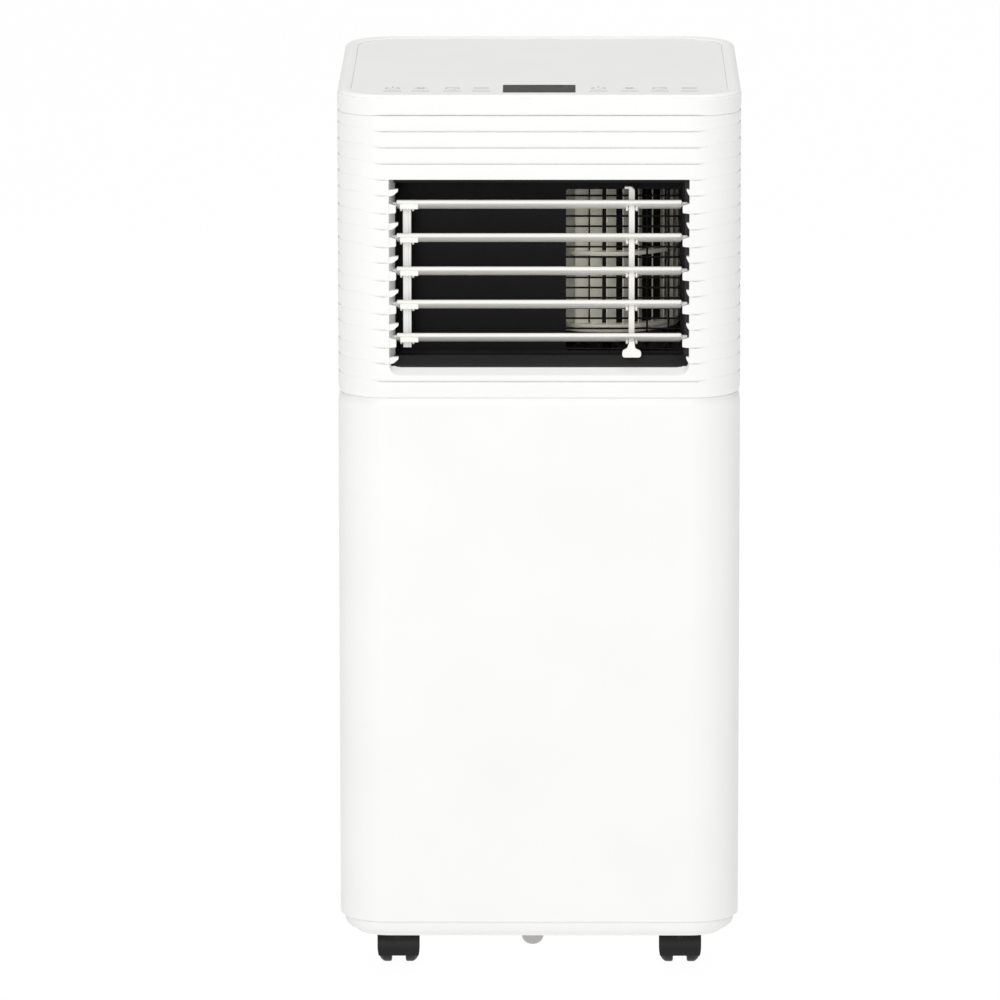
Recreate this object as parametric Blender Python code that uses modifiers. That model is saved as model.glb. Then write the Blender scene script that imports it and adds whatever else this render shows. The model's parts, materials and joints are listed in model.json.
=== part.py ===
"""A portable air conditioner on four twin-wheel casters, as an assembly of separate pieces.

The cabinet is a rounded box: a ribbed head with the air outlet and its louvre, a smooth lower
body, and a base pan. The origin is under the middle of the cabinet, on the floor. +Z is up, and
the air outlet faces -Y. All sizes are in metres.
"""

import math

import bmesh
import bpy
from mathutils import Matrix, Vector

# Cabinet
WIDTH = 0.300
DEPTH = 0.330
HEIGHT = 0.670
CORNER_RADIUS = 0.037
CORNER_STEPS = 5
GAP = 0.0004
SPLIT_Y = 0.070  # where the front covers meet the rear covers

HALF_WIDTH = WIDTH / 2
HALF_DEPTH = DEPTH / 2

# Ribs round the head: flat boards, each with a sharp ledge on top and a lower edge that falls back
RIB_PITCH = 0.0125
RIB_COUNT = 18
RIB_DEPTH = 0.0015
RIB_FALL = 0.0046
LEDGE_RISE = 0.0006
HEAD_WALL = 0.0035
HEAD_BOTTOM = 0.4430
HEAD_TOP = HEAD_BOTTOM + (RIB_COUNT - 1) * RIB_PITCH  # the top cover is the first rib

# Lower body and base pan
BODY_WALL = 0.0025
BODY_CHAMFER = 0.0012
BODY_BOTTOM = 0.0430
BODY_TOP = HEAD_BOTTOM - GAP
BASE_BOTTOM = 0.0323
BASE_FLOOR = 0.0365
BASE_INSET = 0.0032

# Top panel and display
PANEL_INSET = 0.0100
PANEL_CLEARANCE = 0.0004
PANEL_DROP = 0.0005
PANEL_THICKNESS = 0.0015
DECK_THICKNESS = 0.0025
DISPLAY_SIZE = (0.054, 0.0420)
DISPLAY_FRONT = -HALF_DEPTH + 0.0240

# Air outlet in the head's front
OUTLET_HALF_WIDTH = 0.1134
OUTLET_BOTTOM = HEAD_BOTTOM + 2 * RIB_PITCH + 0.0005
OUTLET_TOP = HEAD_TOP - 4 * RIB_PITCH + 0.0015
CHEEK_BACK = 0.1090
CHEEK_DEPTH = 0.0205
CHEEK_WALL = 0.0030
THROAT_BACK_Y = -HALF_DEPTH + 0.0425
THROAT_WALL = 0.0020
THROAT_HALF_WIDTH = 0.1080
WINDOW_LEFT = 0.0200
WINDOW_RIGHT = 0.1050

# Louvre: five vanes on one linkage
VANE_COUNT = 5
VANE_RIB = 7  # the top vane is level with this rib, counted from the top
VANE_PIVOT_Y = -HALF_DEPTH + 0.0150
VANE_HALF_LENGTH = 0.1055
VANE_NOSE = -0.0095
VANE_TAIL = 0.0105
VANE_TILT = math.radians(-21)
PIVOT_RADIUS = 0.0015
PIVOT_HOLE = 0.0020
PIVOT_REACH = 0.1125
PIN_OFFSET = (0.0050, -0.0025)  # link pin from the vane's pivot, along the chord and below it
PIN_RADIUS = 0.0009
PIN_HOLE = 0.0013
BAR_DEPTH = 0.0046
LINK_X = -0.0985
LINK_WIDTH = 0.0062
LEVER_X = 0.0687
LEVER_WIDTH = 0.0044
LEVER_BOTTOM = 0.4765
NOTCH_SIDE_GAP = 0.0005
TAB_WIDTH = 0.0145
TAB_BOTTOM = 0.4735
TAB_TOP = 0.4815

# Fans: squirrel-cage wheels on upright shafts
COOL_AXIS = (0.0510, -0.0480)
COOL_RADIUS = 0.0550
COOL_BOTTOM = 0.4820
COOL_TOP = 0.5980
HOT_AXIS = (0.0, 0.0300)
HOT_RADIUS = 0.0600
HOT_BOTTOM = 0.2750
HOT_TOP = 0.3850
SCROLL_GAP = 0.0075
SCROLL_WALL = 0.0020
SHAFT_RADIUS = 0.0030
SHAFT_HOLE = 0.0035
MOTOR_GAP = 0.0060

# Electrics
CONTROL_BOX = ((-0.1250, -0.1120, 0.4700), (-0.0180, -0.0400, 0.6000))
CAPACITOR_FOOT = (-0.0950, 0.0000, 0.4700)
CAPACITOR_RADIUS = 0.0180
CAPACITOR_HEIGHT = 0.0750

# Rear side
COLLAR_Z = 0.3350
COLLAR_BORE = 0.0620
COLLAR_RADIUS = 0.0700
COLLAR_FLANGE = 0.0780
UPPER_GRILLE = ((-0.1045, 0.4785), (0.1045, 0.6315))
LOWER_GRILLE = ((-0.1000, 0.0750), (0.1000, 0.2450))
GRILLE_THICKNESS = 0.0035
GRILLE_SLOTS = 9
DRAIN_RADIUS = 0.0080
UPPER_DRAIN = (-0.0950, 0.4000)
LOWER_DRAIN = (-0.0600, 0.0560)
GLAND = (0.0950, 0.2700)

# Grip pockets in the sides of the lower body
GRIP_LENGTH = 0.0900
GRIP_HEIGHT = 0.0340
GRIP_DEPTH = 0.0210
GRIP_Z = 0.4125
GRIP_WALL = 0.0018

# Casters
CASTER_X = 0.1065
CASTER_Y = 0.1200
CASTER_TRAIL = 0.0080
WHEEL_RADIUS = 0.0135
WHEEL_INNER = 0.0052
WHEEL_OUTER = 0.0155
HOOD_RADIUS = 0.0165
HOOD_INNER = 0.0146
HOOD_HALF_WIDTH = 0.0132
WEB_HALF_WIDTH = 0.0042
AXLE_RADIUS = 0.0020
AXLE_HOLE = 0.0023
STEM_RADIUS = 0.0040
STEM_TOP = 0.0500
BOLT = (-0.0020, -0.1270)  # the domed bolt under the base
BOLT_RADIUS = 0.0025

LOOKS = {  # colour, roughness, metallic
    "white_plastic": ((0.90, 0.90, 0.89), 0.30, 0.0),
    "pale_grey_plastic": ((0.78, 0.78, 0.78), 0.40, 0.0),
    "display_smoke": ((0.06, 0.06, 0.06), 0.12, 0.0),
    "black_plastic": ((0.015, 0.015, 0.016), 0.45, 0.0),
    "charcoal_plastic": ((0.035, 0.035, 0.037), 0.50, 0.0),
    "fan_plastic": ((0.52, 0.51, 0.46), 0.50, 0.0),
    "filter_mesh": ((0.25, 0.26, 0.27), 0.80, 0.0),
    "galvanised_steel": ((0.58, 0.59, 0.60), 0.42, 1.0),
    "bright_steel": ((0.75, 0.75, 0.74), 0.22, 1.0),
    "coil_fins": ((0.72, 0.73, 0.74), 0.38, 1.0),
    "copper": ((0.72, 0.38, 0.22), 0.30, 1.0),
    "compressor_paint": ((0.03, 0.03, 0.03), 0.40, 0.0),
    "circuit_board": ((0.03, 0.16, 0.07), 0.45, 0.0),
    "electrics_box_plastic": ((0.58, 0.59, 0.60), 0.50, 0.0),
    "capacitor_can": ((0.58, 0.59, 0.60), 0.35, 1.0),
    "tyre_rubber": ((0.030, 0.030, 0.031), 0.60, 0.0),
}


def clear_scene():
    for obj in list(bpy.data.objects):
        bpy.data.objects.remove(obj, do_unlink=True)


def new_collection(name):
    collection = bpy.data.collections.new(name)
    bpy.context.scene.collection.children.link(collection)
    return collection


def look(name):
    """The named material, made when it is first asked for."""
    material = bpy.data.materials.get(name)
    if material:
        return material
    color, roughness, metallic = LOOKS[name]
    material = bpy.data.materials.new(name)
    material.use_nodes = True
    shader = material.node_tree.nodes["Principled BSDF"]
    shader.inputs["Base Color"].default_value = (*color, 1.0)
    shader.inputs["Roughness"].default_value = roughness
    shader.inputs["Metallic"].default_value = metallic
    return material


# Objects and Booleans


def place(bm, name, collection, origin):
    """An object from the bmesh, whose points are in world space, with its origin at the point given."""
    bmesh.ops.recalc_face_normals(bm, faces=bm.faces)
    bmesh.ops.translate(bm, verts=bm.verts, vec=-Vector(origin))
    mesh = bpy.data.meshes.new(name)
    bm.to_mesh(mesh)
    bm.free()
    mesh.shade_smooth()
    mesh.set_sharp_from_angle(angle=math.radians(35))
    obj = bpy.data.objects.new(name, mesh)
    obj.location = origin
    collection.objects.link(obj)
    return obj


def part(bm, name, finish, origin=(0, 0, 0)):
    obj = place(bm, name, parts, origin)
    obj.data.materials.append(look(finish))
    return obj


def tool(bm, name):
    """A helper solid for a Boolean. It isn't a piece of the object."""
    obj = place(bm, name, cutters, (0, 0, 0))
    obj.hide_render = True
    obj.display_type = "WIRE"
    return obj


def combine(target, operation, bm):
    """Cuts the solids in bm from the target, or joins them to it. Their points are in its own space."""
    helper = tool(bm, f"{target.name}_{operation.lower()}")
    helper.parent = target
    modifier = target.modifiers.new(helper.name, "BOOLEAN")
    modifier.operation = operation
    modifier.object = helper
    modifier.solver = "EXACT"


def cut(target, bm):
    combine(target, "DIFFERENCE", bm)


def join(target, bm):
    combine(target, "UNION", bm)


# Shapes added to a bmesh


def add_box(bm, low, high, turn=None):
    """A box between two corners. turn is applied about the world's origin."""
    low, high = Vector(low), Vector(high)
    size = high - low
    place_box = Matrix.Translation((low + high) / 2) @ Matrix.Diagonal((*size, 1))
    bmesh.ops.create_cube(bm, size=1, matrix=(turn or Matrix.Identity(4)) @ place_box)


def add_cylinder(bm, start, end, radius, segments=16):
    start, end = Vector(start), Vector(end)
    run = end - start
    turn = run.to_track_quat("Z", "Y").to_matrix().to_4x4()
    bmesh.ops.create_cone(
        bm,
        cap_ends=True,
        segments=segments,
        radius1=radius,
        radius2=radius,
        depth=run.length,
        matrix=Matrix.Translation((start + end) / 2) @ turn,
    )


def add_prism(bm, outline, low, high):
    """The (y, z) outline extruded along X from low to high."""
    corners = [bm.verts.new((low, y, z)) for y, z in outline]
    face = bm.faces.new(corners)
    extruded = bmesh.ops.extrude_face_region(bm, geom=[face])
    moved = [item for item in extruded["geom"] if isinstance(item, bmesh.types.BMVert)]
    bmesh.ops.translate(bm, verts=moved, vec=(high - low, 0, 0))


def arc(centre, radius, start, end, steps):
    """Points on an arc, both ends included. Angles are in degrees."""
    points = []
    for step in range(steps + 1):
        angle = math.radians(start + (end - start) * step / steps)
        points.append((centre[0] + radius * math.cos(angle), centre[1] + radius * math.sin(angle)))
    return points


# Whole pieces


def box_part(name, finish, low, high):
    bm = bmesh.new()
    add_box(bm, low, high)
    return part(bm, name, finish)


def turned_part(name, finish, profile, origin, axis="Z", steps=24, closed=False):
    """A profile of (radius, height) turned about an axis through the origin given.

    The profile runs down its outer side. closed joins its last point to its first.
    """
    bm = bmesh.new()
    points = [bm.verts.new((radius, 0, height)) for radius, height in profile]
    for first, second in zip(points, points[1:]):
        bm.edges.new((first, second))
    if closed:
        bm.edges.new((points[-1], points[0]))
    obj = part(bm, name, finish)
    obj.location = origin
    turns = {"Z": (0, 0, 0), "X": (0, math.pi / 2, 0), "Y": (-math.pi / 2, 0, 0)}
    obj.rotation_euler = turns[axis]
    screw = obj.modifiers.new("turn", "SCREW")
    screw.steps = steps
    screw.render_steps = steps
    screw.use_merge_vertices = True
    screw.merge_threshold = 0.00001
    screw.use_smooth_shade = True
    return obj


def cabinet_corner(side, end, inset=0.0):
    """(point, outward normal) pairs round one corner. side and end are -1 or 1 for X and Y."""
    centre = (side * (HALF_WIDTH - CORNER_RADIUS), end * (HALF_DEPTH - CORNER_RADIUS))
    start = {(1, 1): 0, (-1, 1): 90, (-1, -1): 180, (1, -1): 270}[side, end]
    stations = []
    for normal in arc((0, 0), 1, start, start + 90, CORNER_STEPS):
        radius = CORNER_RADIUS - inset
        point = (centre[0] + normal[0] * radius, centre[1] + normal[1] * radius)
        stations.append((point, normal))
    return stations


def cabinet_ring(bm, inset, z):
    """The cabinet's rounded outline, moved in by inset, as vertices at one height."""
    corners = [(1, 1), (-1, 1), (-1, -1), (1, -1)]
    stations = [station for corner in corners for station in cabinet_corner(*corner, inset)]
    return [bm.verts.new((*point, z)) for point, _ in stations]


def cabinet_part(name, finish, profile):
    """A closed body from (inset, z) rings of the cabinet's outline, with its two end rings filled."""
    bm = bmesh.new()
    rings = [cabinet_ring(bm, inset, z) for inset, z in profile]
    for lower, upper in zip(rings, rings[1:]):
        for index in range(len(lower)):
            after = (index + 1) % len(lower)
            bm.faces.new((lower[index], lower[after], upper[after], upper[index]))
    bm.faces.new(rings[0])
    bm.faces.new(rings[-1])
    return part(bm, name, finish)


def swept_part(name, finish, stations, section):
    """A closed (outset, z) section swept along (point, normal) stations, with its ends filled."""
    bm = bmesh.new()
    rings = []
    for point, normal in stations:
        ring = []
        for outset, z in section:
            spot = (point[0] + normal[0] * outset, point[1] + normal[1] * outset, z)
            ring.append(bm.verts.new(spot))
        rings.append(ring)
    for before, after in zip(rings, rings[1:]):
        for index in range(len(section)):
            following = (index + 1) % len(section)
            bm.faces.new((before[index], before[following], after[following], after[index]))
    bm.faces.new(rings[0])
    bm.faces.new(rings[-1])
    return part(bm, name, finish)


def cover_stations(end):
    """Stations of a front (-1) or rear (1) cover: side, corner, flat, corner, side."""
    seam = SPLIT_Y + end * GAP / 2
    start = [((-HALF_WIDTH, seam), (-1, 0))]
    finish = [((HALF_WIDTH, seam), (1, 0))]
    left, right = cabinet_corner(-1, end), cabinet_corner(1, end)
    if end > 0:
        left.reverse()
        right.reverse()
    return start + left + right + finish


def head_section():
    """The head wall's section: ribs outside, and a plain wall inside."""
    bottom, top = HEAD_BOTTOM + GAP, HEAD_TOP - GAP
    section = [(-HEAD_WALL, bottom)]
    for rib in range(RIB_COUNT - 1):
        rib_bottom = bottom + rib * RIB_PITCH
        section.append((-RIB_DEPTH, rib_bottom))
        section.append((0, rib_bottom + RIB_FALL))
        section.append((0, rib_bottom + RIB_PITCH - LEDGE_RISE))
    section[-1] = (0, top)
    section.append((-HEAD_WALL, top))
    return section


def body_section():
    return [
        (-BODY_WALL, BODY_BOTTOM),
        (-BODY_CHAMFER, BODY_BOTTOM),
        (0, BODY_BOTTOM + BODY_CHAMFER),
        (0, BODY_TOP - BODY_CHAMFER),
        (-BODY_CHAMFER, BODY_TOP),
        (-BODY_WALL, BODY_TOP),
    ]


# Cabinet pieces


def rib_middle(rib):
    """The height of a rib's middle. The top rib is number 1."""
    return HEAD_BOTTOM + (RIB_COUNT - rib + 0.5) * RIB_PITCH


def make_top_cover():
    pocket = HEIGHT - PANEL_DROP - PANEL_THICKNESS - PANEL_CLEARANCE
    profile = [
        (PANEL_INSET, pocket),
        (PANEL_INSET, HEIGHT - 0.0004),
        (PANEL_INSET - 0.0006, HEIGHT),
        (0.0050, HEIGHT),
        (0.0020, HEIGHT - 0.0009),
        (0.0004, HEIGHT - 0.0030),
        (0, HEIGHT - 0.0060),
        (0, HEAD_TOP + GAP),
        (HEAD_WALL, HEAD_TOP + GAP),
        (HEAD_WALL, pocket - DECK_THICKNESS),
    ]
    cover = cabinet_part("top_cover", "white_plastic", profile)
    bm = bmesh.new()
    half = DISPLAY_SIZE[0] / 2 - 0.006
    near, far = DISPLAY_FRONT + 0.006, DISPLAY_FRONT + DISPLAY_SIZE[1] - 0.006
    add_box(bm, (-half, near, pocket - 0.01), (half, far, HEIGHT))
    cut(cover, bm)


def make_control_panel():
    top = HEIGHT - PANEL_DROP
    bottom = top - PANEL_THICKNESS
    inset = PANEL_INSET + PANEL_CLEARANCE
    profile = [(inset, bottom), (inset, top - 0.0003), (inset + 0.0004, top)]
    panel = cabinet_part("control_panel", "pale_grey_plastic", profile)
    half = DISPLAY_SIZE[0] / 2
    far = DISPLAY_FRONT + DISPLAY_SIZE[1]
    bm = bmesh.new()
    add_box(bm, (-half, DISPLAY_FRONT, bottom - 0.01), (half, far, top + 0.01))
    cut(panel, bm)
    gap = PANEL_CLEARANCE
    low = (-half + gap, DISPLAY_FRONT + gap, bottom)
    high = (half - gap, far - gap, top)
    box_part("display_window", "display_smoke", low, high)
    board_top = bottom - PANEL_CLEARANCE - DECK_THICKNESS - 0.002
    low = (-half - 0.075, DISPLAY_FRONT - 0.003, board_top - 0.0016)
    high = (half + 0.075, far + 0.010, board_top)
    box_part("display_board", "circuit_board", low, high)


def add_outlet_cutter(bm):
    low = (-OUTLET_HALF_WIDTH, -HALF_DEPTH - 0.01, OUTLET_BOTTOM)
    high = (OUTLET_HALF_WIDTH, -HALF_DEPTH + 0.01, OUTLET_TOP)
    add_box(bm, low, high)


def add_cheek(bm, side):
    """The slanting inner wall at one side of the outlet, with the vanes' pivot holes cut later."""
    front, back = -HALF_DEPTH + 0.0022, -HALF_DEPTH + CHEEK_DEPTH
    low, high = OUTLET_BOTTOM - 0.0025, OUTLET_TOP + 0.0025
    plan = [
        (OUTLET_HALF_WIDTH, front),
        (OUTLET_HALF_WIDTH + CHEEK_WALL, front),
        (CHEEK_BACK + CHEEK_WALL, back),
        (CHEEK_BACK, back),
    ]
    corners = [bm.verts.new((side * x, y, low)) for x, y in plan]
    face = bm.faces.new(corners)
    extruded = bmesh.ops.extrude_face_region(bm, geom=[face])
    moved = [item for item in extruded["geom"] if isinstance(item, bmesh.types.BMVert)]
    bmesh.ops.translate(bm, verts=moved, vec=(0, 0, high - low))


def add_comb_fin(bm, side, z):
    """A rib's end, which reaches into the outlet with its tip turned up."""
    root, tip = OUTLET_HALF_WIDTH + 0.0010, OUTLET_HALF_WIDTH - 0.0085
    front, back = -HALF_DEPTH + 0.0020, -HALF_DEPTH + 0.0065
    outline = [(root, -0.0035), (tip, 0.0008), (tip, 0.0022), (root, 0.0020)]
    corners = [bm.verts.new((side * x, front, z + rise)) for x, rise in outline]
    face = bm.faces.new(corners)
    extruded = bmesh.ops.extrude_face_region(bm, geom=[face])
    moved = [item for item in extruded["geom"] if isinstance(item, bmesh.types.BMVert)]
    bmesh.ops.translate(bm, verts=moved, vec=(0, back - front, 0))


def make_front_upper_cover():
    cover = swept_part("front_upper_cover", "white_plastic", cover_stations(-1), head_section())
    bm = bmesh.new()
    add_outlet_cutter(bm)
    cut(cover, bm)
    bm = bmesh.new()
    for side in (-1, 1):
        add_cheek(bm, side)
    join(cover, bm)
    bm = bmesh.new()
    for side in (-1, 1):
        for rib in range(VANE_RIB - 1, VANE_RIB + 2 * VANE_COUNT, 2):
            add_comb_fin(bm, side, rib_middle(rib))
    join(cover, bm)
    bm = bmesh.new()
    for side in (-1, 1):
        for vane in range(VANE_COUNT):
            z = rib_middle(VANE_RIB + 2 * vane)
            start = (side * (CHEEK_BACK - 0.004), VANE_PIVOT_Y, z)
            end = (side * (OUTLET_HALF_WIDTH + CHEEK_WALL + 0.002), VANE_PIVOT_Y, z)
            add_cylinder(bm, start, end, PIVOT_HOLE, segments=8)
    cut(cover, bm)


def add_grille_hole(bm, grille):
    (left, bottom), (right, top) = grille
    low = (left - GAP, HALF_DEPTH - 0.02, bottom - GAP)
    high = (right + GAP, HALF_DEPTH + 0.01, top + GAP)
    add_box(bm, low, high)


def make_rear_upper_cover():
    cover = swept_part("rear_upper_cover", "white_plastic", cover_stations(1), head_section())
    bm = bmesh.new()
    add_grille_hole(bm, UPPER_GRILLE)
    cut(cover, bm)


def make_front_lower_cover():
    cover = swept_part("front_lower_cover", "white_plastic", cover_stations(-1), body_section())
    bm = bmesh.new()
    half_length, half_height = GRIP_LENGTH / 2 + GAP, GRIP_HEIGHT / 2 + GAP
    low = (-HALF_WIDTH - 0.01, -half_length, GRIP_Z - half_height)
    high = (HALF_WIDTH + 0.01, half_length, GRIP_Z + half_height)
    add_box(bm, low, high)
    cut(cover, bm)


def make_rear_lower_cover():
    cover = swept_part("rear_lower_cover", "white_plastic", cover_stations(1), body_section())
    bm = bmesh.new()
    add_grille_hole(bm, LOWER_GRILLE)
    holes = [
        ((0, COLLAR_Z), COLLAR_RADIUS + GAP, 32),
        (UPPER_DRAIN, DRAIN_RADIUS + GAP, 12),
        (LOWER_DRAIN, DRAIN_RADIUS + GAP, 12),
        (GLAND, DRAIN_RADIUS + GAP, 12),
    ]
    for (x, z), radius, segments in holes:
        start, end = (x, HALF_DEPTH - 0.01, z), (x, HALF_DEPTH + 0.01, z)
        add_cylinder(bm, start, end, radius, segments)
    cut(cover, bm)


def make_grip(name, side):
    """A finger pocket, open to the side."""
    half_length, half_height = GRIP_LENGTH / 2, GRIP_HEIGHT / 2
    outer, inner = side * (HALF_WIDTH - 0.0003), side * (HALF_WIDTH - GRIP_DEPTH)
    bm = bmesh.new()
    low = (min(outer, inner), -half_length, GRIP_Z - half_height)
    high = (max(outer, inner), half_length, GRIP_Z + half_height)
    add_box(bm, low, high)
    pocket = part(bm, name, "white_plastic")
    bm = bmesh.new()
    mouth, floor = outer + side * 0.01, inner + side * GRIP_WALL
    low = (min(mouth, floor), -half_length + GRIP_WALL, GRIP_Z - half_height + GRIP_WALL)
    high = (max(mouth, floor), half_length - GRIP_WALL, GRIP_Z + half_height - GRIP_WALL)
    add_box(bm, low, high)
    cut(pocket, bm)


def make_base_pan():
    profile = [
        (0.0075, BASE_FLOOR),
        (0.0068, 0.0600),
        (BASE_INSET, 0.0600),
        (BASE_INSET, 0.0405),
        (0.0045, 0.0360),
        (0.0080, 0.0332),
        (0.0130, BASE_BOTTOM),
    ]
    pan = cabinet_part("base_pan", "pale_grey_plastic", profile)
    bm = bmesh.new()
    for x, y in caster_places():
        add_cylinder(bm, (x, y, 0.02), (x, y, BASE_FLOOR + 0.01), STEM_RADIUS + 0.0005)
    add_cylinder(bm, (*BOLT, 0.02), (*BOLT, BASE_FLOOR + 0.01), BOLT_RADIUS + GAP, 12)
    x, z = LOWER_DRAIN
    add_cylinder(bm, (x, HALF_DEPTH - 0.012, z), (x, HALF_DEPTH, z), DRAIN_RADIUS + GAP, 12)
    cut(pan, bm)


def make_drip_tray():
    """The tray under the cooling coil. It also parts the cool side from the hot side."""
    wall = HEAD_WALL + GAP
    bottom = HEAD_BOTTOM + 0.0030
    profile = [
        (wall + 0.0020, bottom + 0.0025),
        (wall + 0.0020, bottom + 0.0150),
        (wall, bottom + 0.0150),
        (wall, bottom),
    ]
    tray = cabinet_part("drip_tray", "pale_grey_plastic", profile)
    bm = bmesh.new()
    x, y = COOL_AXIS
    add_cylinder(bm, (x, y, bottom - 0.01), (x, y, bottom + 0.01), 0.0060, 12)
    x, y = SUCTION_ROUTE[4][:2]
    add_cylinder(bm, (x, y, bottom - 0.01), (x, y, bottom + 0.01), PIPE_RADIUS + 0.0020, 12)
    cut(tray, bm)


# Air outlet and louvre


def make_outlet_shroud():
    """Floor, back and ceiling of the outlet's throat, with short side walls behind the vanes."""
    front, back = -HALF_DEPTH + HEAD_WALL + GAP, THROAT_BACK_Y
    floor, ceiling = OUTLET_BOTTOM, OUTLET_TOP
    outline = [
        (front, floor - THROAT_WALL),
        (back + THROAT_WALL, floor - THROAT_WALL),
        (back + THROAT_WALL, ceiling + THROAT_WALL),
        (front, ceiling + THROAT_WALL),
        (front, ceiling),
        (back, ceiling),
        (back, floor),
        (front, floor),
    ]
    bm = bmesh.new()
    add_prism(bm, outline, -THROAT_HALF_WIDTH, THROAT_HALF_WIDTH)
    shroud = part(bm, "outlet_shroud", "black_plastic")
    bm = bmesh.new()
    for side in (-1, 1):
        inner, outer = side * (THROAT_HALF_WIDTH - 0.0018), side * (THROAT_HALF_WIDTH + 0.0010)
        low = (min(inner, outer), -HALF_DEPTH + CHEEK_DEPTH + 0.0010, floor - THROAT_WALL / 2)
        high = (max(inner, outer), back + THROAT_WALL / 2, ceiling + THROAT_WALL / 2)
        add_box(bm, low, high)
    join(shroud, bm)
    bm = bmesh.new()
    low = (WINDOW_LEFT, back - 0.01, floor + 0.0050)
    high = (WINDOW_RIGHT, back + 0.01, ceiling - 0.0120)
    add_box(bm, low, high)
    cut(shroud, bm)


def make_outlet_guard():
    """The finger guard behind the shroud's window."""
    front = THROAT_BACK_Y + THROAT_WALL + GAP
    left, right = WINDOW_LEFT - 0.0030, WINDOW_RIGHT + 0.0015
    bottom, top = OUTLET_BOTTOM + 0.0020, OUTLET_TOP - 0.0090
    guard = box_part(
        "outlet_guard", "black_plastic", (left, front, bottom), (right, front + 0.0015, top)
    )
    columns, rows, bar = 4, 6, 0.0020
    cell_width = (WINDOW_RIGHT - WINDOW_LEFT - bar) / columns
    cell_height = (top - bottom - 0.0080) / rows
    bm = bmesh.new()
    for column in range(columns):
        for row in range(rows):
            x = WINDOW_LEFT + bar + column * cell_width
            z = bottom + 0.0050 + row * cell_height
            low = (x, front - 0.01, z)
            high = (x + cell_width - bar, front + 0.01, z + cell_height - bar)
            add_box(bm, low, high)
    cut(guard, bm)


def notch_ranges():
    """The X range of each notch that lets a bar through the vanes: the link's, then the lever's."""
    ranges = []
    for x, width in ((LINK_X, LINK_WIDTH), (LEVER_X, LEVER_WIDTH)):
        half = width / 2 + NOTCH_SIDE_GAP
        ranges.append((x - half, x + half))
    return ranges


def vane_outline():
    """The vane's section in its own plane: a round nose, tapering to a thinner tail."""
    nose = arc((VANE_NOSE + 0.0011, 0), 0.0011, 90, 270, 4)
    return nose + [(VANE_TAIL, -0.0008), (VANE_TAIL, 0.0008)]


def make_vane(number):
    z = rib_middle(VANE_RIB + 2 * (number - 1))
    bm = bmesh.new()
    add_prism(bm, vane_outline(), -VANE_HALF_LENGTH, VANE_HALF_LENGTH)
    vane = part(bm, f"vane_{number}", "white_plastic")
    vane.location = (0, VANE_PIVOT_Y, z)
    vane.rotation_euler = (VANE_TILT, 0, 0)
    bm = bmesh.new()
    for left, right in notch_ranges():
        add_box(bm, (left, -0.0010, -0.01), (right, VANE_TAIL + 0.01, 0.01))
    cut(vane, bm)
    bm = bmesh.new()
    for side in (-1, 1):
        start, end = (side * (VANE_HALF_LENGTH - 0.003), 0, 0), (side * PIVOT_REACH, 0, 0)
        add_cylinder(bm, start, end, PIVOT_RADIUS, segments=8)
    join(vane, bm)
    bm = bmesh.new()
    along, below = PIN_OFFSET
    for left, right in notch_ranges():
        for low, high in ((left - 0.0016, left - 0.0001), (right + 0.0001, right + 0.0016)):
            add_box(bm, (low, along - 0.0022, below - 0.0018), (high, along + 0.0022, 0.0002))
    join(vane, bm)
    bm = bmesh.new()
    for left, right in notch_ranges():
        start, end = (left - 0.0008, along, below), (right + 0.0008, along, below)
        add_cylinder(bm, start, end, PIN_RADIUS, segments=8)
    join(vane, bm)


def pin_place(number):
    """(y, z) of a vane's link pin at rest, in world space."""
    along, below = PIN_OFFSET
    y = along * math.cos(VANE_TILT) - below * math.sin(VANE_TILT)
    z = along * math.sin(VANE_TILT) + below * math.cos(VANE_TILT)
    return VANE_PIVOT_Y + y, rib_middle(VANE_RIB + 2 * (number - 1)) + z


def add_pin_holes(bm, x, width):
    for number in range(1, VANE_COUNT + 1):
        y, z = pin_place(number)
        add_cylinder(bm, (x - width, y, z), (x + width, y, z), PIN_HOLE, segments=8)


def make_vane_link():
    """The bar at the left that keeps the five vanes parallel."""
    y, top = pin_place(1)
    bottom = pin_place(VANE_COUNT)[1]
    bm = bmesh.new()
    low = (LINK_X - LINK_WIDTH / 2, y - BAR_DEPTH / 2, bottom - 0.0040)
    high = (LINK_X + LINK_WIDTH / 2, y + BAR_DEPTH / 2, top + 0.0040)
    add_box(bm, low, high)
    link = part(bm, "vane_link", "white_plastic", origin=(LINK_X, *pin_place(3)))
    link_holes = bmesh.new()
    add_pin_holes(link_holes, LINK_X, LINK_WIDTH)
    bmesh.ops.translate(link_holes, verts=link_holes.verts, vec=-link.location)
    cut(link, link_holes)


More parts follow.
